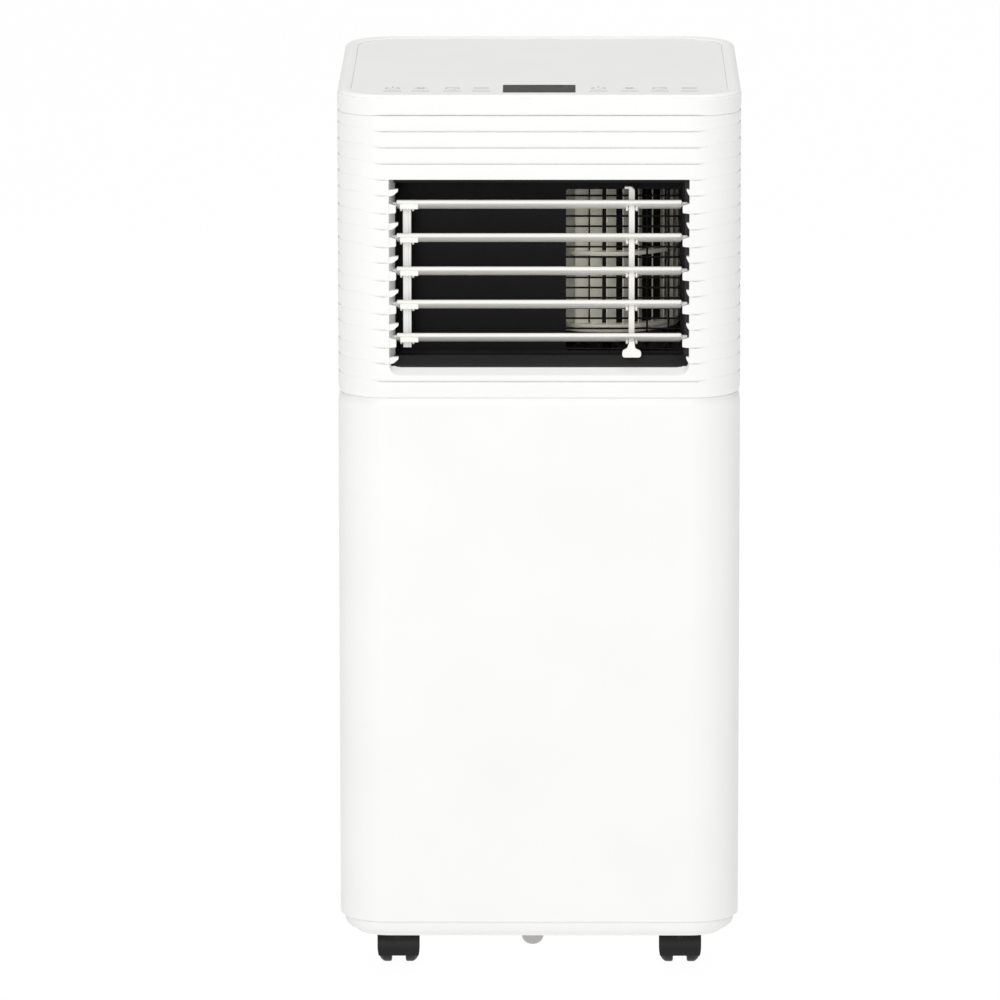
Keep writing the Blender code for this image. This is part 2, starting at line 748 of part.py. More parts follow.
def make_vane_lever():
    """The bar at the right, with a hooked top and a thumb tab in front of the lowest vane."""
    y, top = pin_place(1)
    bm = bmesh.new()
    half = LEVER_WIDTH / 2
    low = (LEVER_X - half, y - BAR_DEPTH / 2, LEVER_BOTTOM)
    high = (LEVER_X + half, y + BAR_DEPTH / 2, top + 0.0150)
    add_box(bm, low, high)
    lever = part(bm, "vane_lever", "white_plastic", origin=(LEVER_X, *pin_place(3)))
    tab_back = VANE_PIVOT_Y + VANE_NOSE - 0.0018
    tab_front = tab_back - 0.0025
    neck = half - 0.0004
    hook_box = ((-0.0058, y - 0.0016, top + 0.0120), (0, y + 0.0016, top + 0.0144))
    neck_low = (-neck, tab_back - 0.0010, LEVER_BOTTOM - 0.0008)
    neck_box = (neck_low, (neck, y, LEVER_BOTTOM + 0.0028))
    tab_box = ((-TAB_WIDTH / 2, tab_front, TAB_BOTTOM), (TAB_WIDTH / 2, tab_back, TAB_TOP))
    for low, high in (hook_box, neck_box, tab_box):
        bm = bmesh.new()
        add_box(bm, low, high)
        shift = Vector((0, -lever.location.y, -lever.location.z))
        bmesh.ops.translate(bm, verts=bm.verts, vec=shift)
        join(lever, bm)
    bm = bmesh.new()
    add_pin_holes(bm, LEVER_X, LEVER_WIDTH)
    bmesh.ops.translate(bm, verts=bm.verts, vec=-lever.location)
    cut(lever, bm)


# Fans


def make_fan_wheel(name, axis, radius, bottom, top, slots, tiers):
    """A cup with a shaft under it, and upright slots cut through its wall."""
    wall, floor = 0.0060, 0.0030
    shaft_end = bottom - 0.0450
    profile = [
        (0, bottom + floor),
        (radius - wall, bottom + floor),
        (radius - wall, top),
        (radius, top),
        (radius, bottom),
        (SHAFT_RADIUS, bottom),
        (SHAFT_RADIUS, shaft_end),
        (0, shaft_end),
    ]
    heights = [(r, z - bottom) for r, z in profile]
    wheel = turned_part(name, "fan_plastic", heights, (*axis, bottom))
    width = 0.55 * 2 * math.pi * radius / slots
    tier_height = (top - bottom - floor) / tiers
    bm = bmesh.new()
    for slot in range(slots):
        turn = Matrix.Rotation(2 * math.pi * (slot + 0.5) / slots, 4, "Z")
        for tier in range(tiers):
            low_z = floor + tier * tier_height + 0.003
            high_z = floor + (tier + 1) * tier_height - 0.003
            low = (radius - wall - 0.003, -width / 2, low_z)
            high = (radius + 0.003, width / 2, high_z)
            add_box(bm, low, high, turn)
    cut(wheel, bm)


def make_motor(name, axis, top, radius, height):
    """A can with a blind bore in its top for the fan's shaft."""
    profile = [
        (0, -0.0420),
        (SHAFT_HOLE, -0.0420),
        (SHAFT_HOLE, 0.0030),
        (0.0090, 0.0030),
        (0.0090, 0),
        (radius - 0.0020, 0),
        (radius, -0.0020),
        (radius, -height + 0.0020),
        (radius - 0.0020, -height),
        (0, -height),
    ]
    turned_part(name, "galvanised_steel", profile, (*axis, top), steps=20)


def make_scroll(name, axis, radius, low, high, mouth_y):
    """A wall that wraps a fan and runs straight to its mouth."""
    toward = 1 if mouth_y > axis[1] else -1
    half_circle = arc((0, 0), 1, 0, -180 * toward, 12)
    stations = [((axis[0] + radius, mouth_y), (1, 0))]
    for normal in half_circle:
        point = (axis[0] + radius * normal[0], axis[1] + radius * normal[1])
        stations.append((point, normal))
    stations.append(((axis[0] - radius, mouth_y), (-1, 0)))
    section = [(0, low), (SCROLL_WALL, low), (SCROLL_WALL, high), (0, high)]
    swept_part(name, "black_plastic", stations, section)


def make_cool_side():
    floor = OUTLET_BOTTOM + 0.0040
    make_fan_wheel("evaporator_wheel", COOL_AXIS, COOL_RADIUS, COOL_BOTTOM, COOL_TOP, 10, 2)
    make_motor("evaporator_motor", COOL_AXIS, HEAD_BOTTOM - 0.0015, 0.0300, 0.0450)
    mouth = THROAT_BACK_Y + THROAT_WALL + 0.0040
    make_scroll(
        "evaporator_scroll", COOL_AXIS, COOL_RADIUS + SCROLL_GAP, floor, OUTLET_TOP - 0.0010, mouth
    )


def make_hot_side():
    make_fan_wheel("condenser_wheel", HOT_AXIS, HOT_RADIUS, HOT_BOTTOM, HOT_TOP, 8, 1)
    make_motor("condenser_motor", HOT_AXIS, HOT_BOTTOM - MOTOR_GAP, 0.0350, 0.0450)
    make_scroll(
        "condenser_scroll",
        HOT_AXIS,
        HOT_RADIUS + 2 * SCROLL_GAP,
        HOT_BOTTOM - 0.0040,
        HOT_TOP + 0.0060,
        HALF_DEPTH - 0.0180,
    )


# Refrigeration and electrics

COMPRESSOR = (-0.0550, -0.0350)
COMPRESSOR_RADIUS = 0.0520
COMPRESSOR_TOP = 0.2050
ACCUMULATOR = (0.0200, -0.0350)
ACCUMULATOR_TOP = 0.1700
PIPE_RADIUS = 0.0040
SUCTION_ROUTE = [
    (0.0200, -0.0350, 0.1712),
    (0.0200, -0.0360, 0.2350),
    (-0.1180, -0.0500, 0.2400),
    (-0.1280, 0.0600, 0.2500),
    (-0.1280, 0.0900, 0.4300),
    (-0.1280, 0.0900, 0.5200),
    (-0.1165, 0.1080, 0.5350),
]
DISCHARGE_ROUTE = [
    (-0.0550, -0.0350, 0.2062),
    (-0.0550, -0.0350, 0.2170),
    (0.0700, -0.0620, 0.2170),
    (0.1240, 0.0000, 0.2250),
    (0.1240, 0.0900, 0.2200),
    (0.1190, 0.1180, 0.2150),
]


def make_pipe(name, route):
    curve = bpy.data.curves.new(name, "CURVE")
    curve.dimensions = "3D"
    curve.bevel_depth = PIPE_RADIUS
    curve.bevel_resolution = 1
    curve.use_fill_caps = True
    spline = curve.splines.new("POLY")
    spline.points.add(len(route) - 1)
    for point, place_xyz in zip(spline.points, route):
        point.co = (*place_xyz, 1)
    curve.materials.append(look("copper"))
    pipe = bpy.data.objects.new(name, curve)
    parts.objects.link(pipe)


def make_compressor():
    radius, bottom = COMPRESSOR_RADIUS, BASE_FLOOR + 0.0060
    profile = [
        (0, COMPRESSOR_TOP),
        (radius * 0.45, COMPRESSOR_TOP - 0.002),
        (radius * 0.85, COMPRESSOR_TOP - 0.012),
        (radius, COMPRESSOR_TOP - 0.030),
        (radius, bottom + 0.015),
        (radius * 0.85, bottom),
        (0, bottom),
    ]
    turned_part("compressor", "compressor_paint", profile, (*COMPRESSOR, 0))
    bottle = [
        (0, ACCUMULATOR_TOP),
        (0.0100, ACCUMULATOR_TOP - 0.003),
        (0.0170, ACCUMULATOR_TOP - 0.015),
        (0.0170, 0.0750),
        (0.0080, 0.0640),
        (0, 0.0640),
    ]
    turned_part("accumulator", "compressor_paint", bottle, (*ACCUMULATOR, 0), steps=16)


def make_coil(name, low, high):
    """A finned block with an end plate at each side and its tubes' return bends beyond them."""
    block = box_part(name, "coil_fins", low, high)
    bm = bmesh.new()
    rows = 5
    for row in range(rows):
        z = low[2] + (row + 0.5) * (high[2] - low[2]) / rows
        y = (low[1] + high[1]) / 2
        add_cylinder(bm, (low[0] - 0.006, y, z), (high[0] + 0.006, y, z), 0.0045, 8)
    join(block, bm)


def make_refrigeration():
    make_compressor()
    make_coil("evaporator_coil", (-0.1060, 0.1140, 0.4700), (0.1060, 0.1400, 0.6200))
    make_coil("condenser_coil", (-0.1040, 0.1230, 0.0680), (0.1040, 0.1470, 0.2500))
    make_pipe("suction_pipe", SUCTION_ROUTE)
    make_pipe("discharge_pipe", DISCHARGE_ROUTE)


def make_electrics():
    box_part("control_box", "electrics_box_plastic", *CONTROL_BOX)
    top, radius = CAPACITOR_HEIGHT, CAPACITOR_RADIUS
    profile = [(0, top), (radius, top), (radius, 0), (0, 0)]
    turned_part("capacitor", "capacitor_can", profile, CAPACITOR_FOOT, steps=16)


# Rear fittings


def make_grille(name, grille):
    (left, bottom), (right, top) = grille
    rear = HALF_DEPTH - 0.0010
    low, high = (left, rear - GRILLE_THICKNESS, bottom), (right, rear, top)
    panel = box_part(name, "white_plastic", low, high)
    pitch = (top - bottom - 0.0120) / GRILLE_SLOTS
    bm = bmesh.new()
    for slot in range(GRILLE_SLOTS):
        z = bottom + 0.0060 + (slot + 0.25) * pitch
        low = (left + 0.0080, rear - 0.02, z)
        high = (right - 0.0080, rear + 0.01, z + pitch / 2)
        add_box(bm, low, high)
    cut(panel, bm)


def make_filter(name, grille):
    """A framed mesh screen that clips to the back of its grille."""
    (left, bottom), (right, top) = grille
    rear = HALF_DEPTH - 0.0010 - GRILLE_THICKNESS - 0.0003
    low, high = (left + 0.003, rear - 0.0030, bottom + 0.003), (right - 0.003, rear, top - 0.003)
    box_part(name, "filter_mesh", low, high)


def make_exhaust_collar():
    """The round collar that the exhaust hose twists onto."""
    rear, inner = HALF_DEPTH - 0.0005, HALF_DEPTH - BODY_WALL - GAP
    profile = [
        (COLLAR_BORE, rear),
        (COLLAR_RADIUS, rear),
        (COLLAR_RADIUS, inner),
        (COLLAR_FLANGE, inner),
        (COLLAR_FLANGE, inner - 0.0030),
        (COLLAR_BORE, inner - 0.0120),
    ]
    turned_part(
        "exhaust_collar", "white_plastic", profile, (0, 0, COLLAR_Z), axis="Y", steps=32, closed=True
    )


def make_plug(name, finish, spot, stem_end):
    """A round-headed plug in the rear side. Its head lies just inside the cabinet's outline."""
    rear = HALF_DEPTH - 0.0002
    profile = [
        (0, rear),
        (DRAIN_RADIUS - 0.0015, rear),
        (DRAIN_RADIUS, rear - 0.0015),
        (DRAIN_RADIUS, rear - 0.0070),
        (DRAIN_RADIUS * 0.6, rear - 0.0070),
        (DRAIN_RADIUS * 0.6, stem_end),
        (0, stem_end),
    ]
    turned_part(name, finish, profile, (spot[0], 0, spot[1]), axis="Y", steps=16)


def make_base_bolt():
    """The domed bolt under the base, near its front edge."""
    radius = 0.0055
    profile = [
        (0, BASE_FLOOR - 0.0010),
        (BOLT_RADIUS, BASE_FLOOR - 0.0010),
        (BOLT_RADIUS, BASE_BOTTOM - 0.0004),
        (radius, BASE_BOTTOM - 0.0004),
        (radius, BASE_BOTTOM - 0.0028),
        (radius * 0.6, BASE_BOTTOM - 0.0056),
        (0, BASE_BOTTOM - 0.0064),
    ]
    turned_part("base_bolt", "bright_steel", profile, (*BOLT, 0), steps=16)


# Casters


def caster_places():
    """(x, y) of each stem: front left, front right, rear left, rear right."""
    return [(x, y) for y in (-CASTER_Y, CASTER_Y) for x in (-CASTER_X, CASTER_X)]


def make_caster(number, x, y):
    axle_y, axle_z = y + CASTER_TRAIL, WHEEL_RADIUS
    outer = arc((axle_y, axle_z), HOOD_RADIUS, 30, 213, 12)
    inner = arc((axle_y, axle_z), HOOD_INNER, 213, 30, 12)
    bm = bmesh.new()
    add_prism(bm, outer + inner, x - HOOD_HALF_WIDTH, x + HOOD_HALF_WIDTH)
    hood = part(bm, f"caster_hood_{number}", "charcoal_plastic", origin=(x, y, 0))
    web = arc((axle_y, axle_z), HOOD_INNER + 0.0009, 36, 207, 10) + [(axle_y, axle_z - 0.0050)]
    bm = bmesh.new()
    add_prism(bm, web, x - WEB_HALF_WIDTH, x + WEB_HALF_WIDTH)
    bmesh.ops.translate(bm, verts=bm.verts, vec=-hood.location)
    join(hood, bm)
    bm = bmesh.new()
    add_cylinder(bm, (0, 0, 0.0200), (0, 0, STEM_TOP), STEM_RADIUS, segments=12)
    join(hood, bm)
    bm = bmesh.new()
    start, end = (-HOOD_HALF_WIDTH, CASTER_TRAIL, axle_z), (HOOD_HALF_WIDTH, CASTER_TRAIL, axle_z)
    add_cylinder(bm, start, end, AXLE_HOLE, segments=12)
    cut(hood, bm)
    half_axle = WHEEL_OUTER - 0.0015
    pin = [(0, half_axle), (AXLE_RADIUS, half_axle), (AXLE_RADIUS, -half_axle), (0, -half_axle)]
    spot = (x, axle_y, axle_z)
    turned_part(f"caster_axle_{number}", "bright_steel", pin, spot, axis="X", steps=12)
    for side, letter in ((-1, "l"), (1, "r")):
        near, far = sorted((side * WHEEL_INNER, side * WHEEL_OUTER))
        radius_near = WHEEL_RADIUS if side > 0 else WHEEL_RADIUS - 0.0022
        radius_far = WHEEL_RADIUS if side < 0 else WHEEL_RADIUS - 0.0022
        rim = [
            (AXLE_HOLE, far),
            (radius_far, far),
            (WHEEL_RADIUS, far - 0.0030),
            (WHEEL_RADIUS, near + 0.0030),
            (radius_near, near),
            (AXLE_HOLE, near),
        ]
        name = f"caster_wheel_{number}{letter}"
        turned_part(name, "tyre_rubber", rim, spot, axis="X", steps=20, closed=True)


def make_cabinet():
    make_top_cover()
    make_control_panel()
    make_front_upper_cover()
    make_rear_upper_cover()
    make_front_lower_cover()
    make_rear_lower_cover()
    make_grip("grip_left", -1)
    make_grip("grip_right", 1)
    make_base_pan()
    make_drip_tray()


def make_louvre():
    make_outlet_shroud()
    make_outlet_guard()
    for number in range(1, VANE_COUNT + 1):
        make_vane(number)
    make_vane_link()
    make_vane_lever()


def make_rear_fittings():
    make_grille("upper_grille", UPPER_GRILLE)
    make_filter("upper_filter", UPPER_GRILLE)
    make_grille("lower_grille", LOWER_GRILLE)
    make_filter("lower_filter", LOWER_GRILLE)
    make_exhaust_collar()
    make_plug("drain_plug_upper", "pale_grey_plastic", UPPER_DRAIN, HALF_DEPTH - 0.0150)
    make_plug("drain_plug_lower", "pale_grey_plastic", LOWER_DRAIN, HALF_DEPTH - 0.0110)
    make_plug("cord_gland", "charcoal_plastic", GLAND, HALF_DEPTH - 0.0150)


clear_scene()
parts = new_collection("portable_air_conditioner")
cutters = new_collection("cutters")
make_cabinet()
make_louvre()
make_cool_side()
make_hot_side()
make_refrigeration()
make_electrics()
make_rear_fittings()
make_base_bolt()
for caster_number, caster_place in enumerate(caster_places(), start=1):
    make_caster(caster_number, *caster_place)
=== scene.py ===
import json
import math

import bmesh
import bpy
from mathutils import Matrix, Vector


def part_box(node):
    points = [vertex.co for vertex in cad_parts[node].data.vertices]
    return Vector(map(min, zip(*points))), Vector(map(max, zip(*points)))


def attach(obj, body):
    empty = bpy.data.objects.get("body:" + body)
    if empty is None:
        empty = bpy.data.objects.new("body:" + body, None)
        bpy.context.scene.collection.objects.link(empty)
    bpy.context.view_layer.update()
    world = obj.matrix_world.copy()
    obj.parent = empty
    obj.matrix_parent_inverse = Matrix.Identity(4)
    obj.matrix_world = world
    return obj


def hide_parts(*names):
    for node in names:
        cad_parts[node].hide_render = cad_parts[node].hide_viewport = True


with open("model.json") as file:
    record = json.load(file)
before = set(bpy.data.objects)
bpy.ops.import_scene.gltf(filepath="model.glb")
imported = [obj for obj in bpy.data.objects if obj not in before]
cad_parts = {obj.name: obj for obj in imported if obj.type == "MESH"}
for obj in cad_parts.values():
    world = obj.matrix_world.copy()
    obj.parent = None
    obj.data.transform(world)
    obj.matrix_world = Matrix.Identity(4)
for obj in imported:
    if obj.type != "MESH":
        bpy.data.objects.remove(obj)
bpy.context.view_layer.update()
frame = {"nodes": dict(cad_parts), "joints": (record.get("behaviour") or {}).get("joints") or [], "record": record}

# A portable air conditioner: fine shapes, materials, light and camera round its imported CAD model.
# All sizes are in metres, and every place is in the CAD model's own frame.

# Cabinet
WIDTH = 0.300
DEPTH = 0.330
HEIGHT = 0.670
HALF_WIDTH = WIDTH / 2
HALF_DEPTH = DEPTH / 2
FRONT = -HALF_DEPTH
CORNER_RADIUS = 0.037
CORNER_STEPS = 14
GAP = 0.0004
SPLIT_Y = 0.070
HAIRLINE = 0.0001  # how far fixed covers that touch stay apart

# Ribs round the head: flat boards, each with a sharp ledge on top and a rounded lower edge
HEAD_BOTTOM = 0.443
HEAD_WALL = 0.0035
RIB_COUNT = 18
UPPER_RIBS = 5
FIRST_LINE = 0.6546
UPPER_PITCH = 0.01210
FINGER_PITCH = 0.01180
PAIR_PITCH = 0.02517
RIB_DEPTH = 0.0013
SLIT_DEPTH = 0.0021  # the shadow gap between two ribs
SLIT_HEIGHT = 0.0006
SIDE_LIFT = 0.0034  # the ribs' lines sweep up by this much over the corners
CORNER_FADE = 0.94  # and nearly fade out there
SEAM_DEPTH = 0.0018

# Lower body and base pan
BODY_WALL = 0.0025
BODY_BOTTOM = 0.0430
BASE_BOTTOM = 0.0296
BASE_INSET = 0.0032
BOLT_SHIFT = -0.0030  # the bolt is this far from the CAD bolt along X

# Top
RIM_WIDTH = 0.0100
PANEL_RADIUS = 0.0370  # of its corners, which are rounder than the rim's
PANEL_TOP = HEIGHT - 0.0013
PANEL_BOTTOM = HEIGHT - 0.0024
DISPLAY_HALF_WIDTH = 0.0270
DISPLAY_FRONT = FRONT + 0.0240
DISPLAY_BACK = FRONT + 0.0660

# Touch symbols
SYMBOL_PLACES = [-0.1090, -0.0880, -0.0645, -0.0430, 0.0440, 0.0670, 0.0895, 0.1115]
SYMBOL_LINE = 0.0010
SIGN_RADIUS = 0.0056
SYMBOL_ENDS = (PANEL_TOP - 0.0002, PANEL_TOP + 0.00005)

# Air outlet
OUTLET_HALF_WIDTH = 0.1113
RIB_ROOT = OUTLET_HALF_WIDTH + 0.0025  # where the rib ends that reach into the outlet start
OUTLET_BOTTOM = 0.4655
OUTLET_TOP = 0.6070
LIP_DEPTH = 0.0052
THROAT_BACK = FRONT + 0.0425
WINDOW_LEFT = 0.0200
WINDOW_RIGHT = 0.1050

# Louvre
VANE_COUNT = 5
VANE_PITCH = 0.0250
VANE_PIVOT_Y = FRONT + 0.0150
TOP_VANE_Z = 0.58675
VANE_HALF_LENGTH = 0.1055
VANE_NOSE = -0.0095
VANE_TAIL = 0.0105
VANE_TILT = math.radians(-21)
PIVOT_REACH = 0.1100
PIVOT_RADIUS = 0.0015
PIN_ALONG = 0.0050
PIN_BELOW = -0.0025
PIN_RADIUS = 0.0009
LINK_X = -0.0980
LINK_WIDTH = 0.0062
LEVER_X = 0.0687
LEVER_WIDTH = 0.0044
BAR_DEPTH = 0.0046

# Blower behind the guard
BLADES = 28
EXHAUST_BLADES = 24
MOTOR_ROOM = 0.0450  # from the foot of a fan's shaft up to the wheel's disc
BLADE_START = math.radians(-5.5)
WHEEL_WALL = 0.0085
BLADE_SWEEP = 0.145
BLADE_THICKNESS = 0.0007

# Rear
COLLAR_FLANGE = 0.0080
GRILLE_SLOTS = 14  # in each half of a grille

# Casters
CASTER_TRAIL = 0.0080
AXLE_REACH = 0.0140
WHEEL_RADIUS = 0.0135
HOOD_RADIUS = 0.0157
HOOD_INNER = 0.0146
HOOD_HALF_WIDTH = 0.0160
HOOD_TAPER = 0.20  # how much narrower the hood is one radius below its widest line

# Camera, with its angles in radians
CAMERA_PLACE = (0.0127, -6.2000, 1.5281)
CAMERA_TURN = 0.00693
CAMERA_DOWN = 0.19020
CAMERA_ROLL = -0.00103
LENS = 297.25


# Materials

BAND_SCALE = 0.314  # a wave texture's scale for bands one metre apart


def node_tree(name):
    """A new material's node tree, its shader, and its object-space coordinates."""
    material = bpy.data.materials.new(name)
    material.use_nodes = True
    tree = material.node_tree
    shader = tree.nodes["Principled BSDF"]
    place = tree.nodes.new("ShaderNodeTexCoord")
    return material, tree, shader, place.outputs["Object"]


def fill(node, values):
    """Sets a node's inputs, by their names."""
    for name, value in values.items():
        node.inputs[name].default_value = value


def noise(tree, place, scale, detail=3.0):
    texture = tree.nodes.new("ShaderNodeTexNoise")
    fill(texture, {"Scale": scale, "Detail": detail})
    tree.links.new(place, texture.inputs["Vector"])
    return texture.outputs["Fac"]


def vary_gloss(tree, shader, value, roughness, change):
    """A roughness that follows the value's middle range, by up to change each way."""
    node = tree.nodes.new("ShaderNodeMapRange")
    fill(node, {"From Min": 0.3, "From Max": 0.7})
    fill(node, {"To Min": roughness - change, "To Max": roughness + change})
    tree.links.new(value, node.inputs["Value"])
    tree.links.new(node.outputs["Result"], shader.inputs["Roughness"])


def two_tone(tree, shader, value, dark, light):
    """A base colour that runs from dark to light over the value's middle range."""
    ramp = tree.nodes.new("ShaderNodeValToRGB")
    ramp.color_ramp.elements[0].position = 0.3
    ramp.color_ramp.elements[0].color = (*dark, 1)
    ramp.color_ramp.elements[1].position = 0.7
    ramp.color_ramp.elements[1].color = (*light, 1)
    tree.links.new(value, ramp.inputs["Fac"])
    tree.links.new(ramp.outputs["Color"], shader.inputs["Base Color"])


def add_bump(tree, shader, height, strength, distance):
    bump = tree.nodes.new("ShaderNodeBump")
    fill(bump, {"Strength": strength, "Distance": distance})
    tree.links.new(height, bump.inputs["Height"])
    tree.links.new(bump.outputs["Normal"], shader.inputs["Normal"])


def shade(color, change):
    return tuple(min(1.0, channel * (1 + change)) for channel in color)


def moulded(
    name, color, roughness, grain=1800.0, relief=0.00003, change=0.012, shine=0.5, metallic=0.0
):
    """Moulded plastic or painted metal: a fine grain, and slow changes in colour and gloss.

    Common plastics have a shine of 0.5, and duller ones less.
    """
    material, tree, shader, place = node_tree(name)
    cloud = noise(tree, place, 14.0)
    two_tone(tree, shader, cloud, shade(color, -change), shade(color, change))
    vary_gloss(tree, shader, noise(tree, place, 90.0), roughness, 0.03)
    fill(shader, {"Specular IOR Level": shine, "Metallic": metallic})
    add_bump(tree, shader, noise(tree, place, grain, 2.0), 0.35, relief)
    return material


def bands(tree, place, direction, pitch, distortion=0.0):
    wave = tree.nodes.new("ShaderNodeTexWave")
    wave.bands_direction = direction
    fill(wave, {"Scale": BAND_SCALE / pitch, "Distortion": distortion})
    tree.links.new(place, wave.inputs["Vector"])
    return wave.outputs["Fac"]


def woven(name, dark, light, pitch):
    """A woven screen: two sets of threads at right angles."""
    material, tree, shader, place = node_tree(name)
    threads = [bands(tree, place, direction, pitch) for direction in ("X", "Z")]
    both = tree.nodes.new("ShaderNodeMath")
    both.operation = "MAXIMUM"
    tree.links.new(threads[0], both.inputs[0])
    tree.links.new(threads[1], both.inputs[1])
    two_tone(tree, shader, both.outputs[0], dark, light)
    shader.inputs["Roughness"].default_value = 0.8
    add_bump(tree, shader, both.outputs[0], 0.6, 0.0003)
    return material


def finned(name, dark, light, pitch):
    """Thin fins side by side, as on a heat exchanger."""
    material, tree, shader, place = node_tree(name)
    fins = bands(tree, place, "X", pitch, 0.4)
    two_tone(tree, shader, fins, dark, light)
    fill(shader, {"Metallic": 1.0, "Roughness": 0.38})
    add_bump(tree, shader, fins, 0.7, 0.0004)
    return material


def spangled(name, dark, light, roughness, scale):
    """Metal with crystals or streaks in its surface."""
    material, tree, shader, place = node_tree(name)
    cells = tree.nodes.new("ShaderNodeTexVoronoi")
    cells.inputs["Scale"].default_value = scale
    tree.links.new(place, cells.inputs["Vector"])
    mean = tree.nodes.new("ShaderNodeRGBToBW")
    tree.links.new(cells.outputs["Color"], mean.inputs["Color"])
    two_tone(tree, shader, mean.outputs["Val"], dark, light)
    vary_gloss(tree, shader, mean.outputs["Val"], roughness, 0.06)
    shader.inputs["Metallic"].default_value = 1.0
    add_bump(tree, shader, noise(tree, place, 900.0), 0.3, 0.00004)
    return material


FINISHES = {
    "white_plastic": moulded("white_abs", (0.872, 0.872, 0.864), 0.38),
    "pale_grey_plastic": moulded("pale_grey_abs", (0.835, 0.835, 0.826), 0.45),
    "display_smoke": moulded(
        "smoked_window", (0.017, 0.017, 0.016), 0.30, 700.0, 0.00001, change=0.10, shine=0.04
    ),
    "black_plastic": moulded("black_pp", (0.0035, 0.0035, 0.0040), 0.50, change=0.15, shine=0.15),
    "charcoal_plastic": moulded(
        "charcoal_pp", (0.015, 0.015, 0.016), 0.44, change=0.15, shine=0.35
    ),
    "fan_plastic": moulded("fan_pp", (0.900, 0.880, 0.760), 0.50, change=0.03),
    "filter_mesh": woven("filter_weave", (0.03, 0.03, 0.035), (0.20, 0.21, 0.22), 0.0016),
    "galvanised_steel": spangled(
        "galvanised_sheet", (0.48, 0.49, 0.50), (0.66, 0.67, 0.68), 0.42, 160.0
    ),
    "bright_steel": moulded("bright_steel", (0.76, 0.75, 0.73), 0.24, 1200.0, metallic=1.0),
    "coil_fins": finned("aluminium_fins", (0.30, 0.31, 0.32), (0.78, 0.79, 0.80), 0.0016),
    "copper": moulded("copper_tube", (0.74, 0.37, 0.22), 0.30, change=0.08, metallic=1.0),
    "compressor_paint": moulded("compressor_enamel", (0.020, 0.020, 0.021), 0.36, change=0.10),
    "circuit_board": moulded("solder_mask", (0.020, 0.130, 0.055), 0.40, change=0.20),
    "electrics_box_plastic": moulded("electrics_box", (0.30, 0.31, 0.32), 0.50),
    "capacitor_can": moulded("capacitor_can", (0.62, 0.63, 0.64), 0.30, metallic=1.0),
    "tyre_rubber": moulded("tyre_rubber", (0.0075, 0.0075, 0.0075), 0.50, change=0.15, shine=0.30),
}

# Finishes of single pieces, each in place of its slot's own
IVORY = moulded("ivory_abs", (0.872, 0.862, 0.815), 0.40)
HOOD_PLASTIC = moulded("hood_pp", (0.0060, 0.0060, 0.0064), 0.46, change=0.15, shine=0.25)
SYMBOL_INK = moulded("symbol_ink", (0.42, 0.42, 0.41), 0.55)
BOLT_STEEL = moulded("bolt_steel", (0.43, 0.42, 0.40), 0.28, metallic=1.0)


def dress_cad_nodes():
    """The CAD nodes that still show get the fine materials."""
    slots = {row["node"]: row["material_slot"] for row in frame["record"]["subparts"]}
    for node, obj in frame["nodes"].items():
        obj.data.materials.clear()
        obj.data.materials.append(FINISHES[slots[node]])


# Outlines


def ease(share):
    """0 below 0, 1 above 1, and a smooth rise between."""
    share = min(max(share, 0.0), 1.0)
    return share * share * (3 - 2 * share)


def rounded(outline, radius, steps=3):
    """The outline with its corners rounded. A point's third number is its own radius."""
    points = []
    for index, corner in enumerate(outline):
        here = Vector(corner[:2])
        size = corner[2] if len(corner) > 2 else radius
        if size <= 0:
            points.append(tuple(here))
            continue
        back = Vector(outline[index - 1][:2]) - here
        ahead = Vector(outline[(index + 1) % len(outline)][:2]) - here
        half_turn = max(back.angle(ahead) / 2, 0.01)
        reach = min(size / math.tan(half_turn), 0.45 * back.length, 0.45 * ahead.length)
        start, end = here + back.normalized() * reach, here + ahead.normalized() * reach
        for step in range(steps + 1):
            along = step / steps
            near, middle, far = (1 - along) ** 2, 2 * along * (1 - along), along**2
            points.append(tuple(start * near + here * middle + end * far))
    return points


def arc(centre, radius, start, end, steps):
    """Points on an arc, both ends included. Angles are in degrees."""
    points = []
    for step in range(steps + 1):
        angle = math.radians(start + (end - start) * step / steps)
        points.append((centre[0] + radius * math.cos(angle), centre[1] + radius * math.sin(angle)))
    return points


def rectangle(left, low, right, high):
    return [(left, low), (right, low), (right, high), (left, high)]


def rod(radius, low, high):
    """The (radius, height) profile of a plain cylinder."""
    return [(0, low), (radius, low), (radius, high), (0, high)]


def middle_of(node):
    low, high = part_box(node)
    return (low + high) / 2


# Solids added to a bmesh


def add_loft(bm, rings):
    """A closed body through rings of points."""
    rows = [[bm.verts.new(point) for point in ring] for ring in rings]
    for near, far in zip(rows, rows[1:]):
        for index in range(len(near)):
            beside = (index + 1) % len(near)
            bm.faces.new((near[index], near[beside], far[beside], far[index]))
    bm.faces.new(rows[0])
    bm.faces.new(rows[-1])


def along_axis(outline, axis, height):
    """The 2-D outline as 3-D points at one place along an axis."""
    if axis == "X":
        return [(height, a, b) for a, b in outline]
    if axis == "Y":
        return [(a, height, b) for a, b in outline]
    return [(a, b, height) for a, b in outline]


def shrunk(outline, inset):
    """The outline with each point moved inward along the mean of its two edges' normals."""
    count = len(outline)
    area = sum(
        outline[i][0] * outline[(i + 1) % count][1] - outline[(i + 1) % count][0] * outline[i][1]
        for i in range(count)
    )
    side = 1 if area > 0 else -1
    points = []
    for index in range(count):
        before, here = Vector(outline[index - 1]), Vector(outline[index])
        following = Vector(outline[(index + 1) % count])
        run = (here - before).normalized() + (following - here).normalized()
        if run.length < 1e-6:
            points.append(tuple(here))
            continue
        inward = Vector((-run.y, run.x)).normalized() * side
        points.append((here.x + inward.x * inset, here.y + inward.y * inset))
    return points


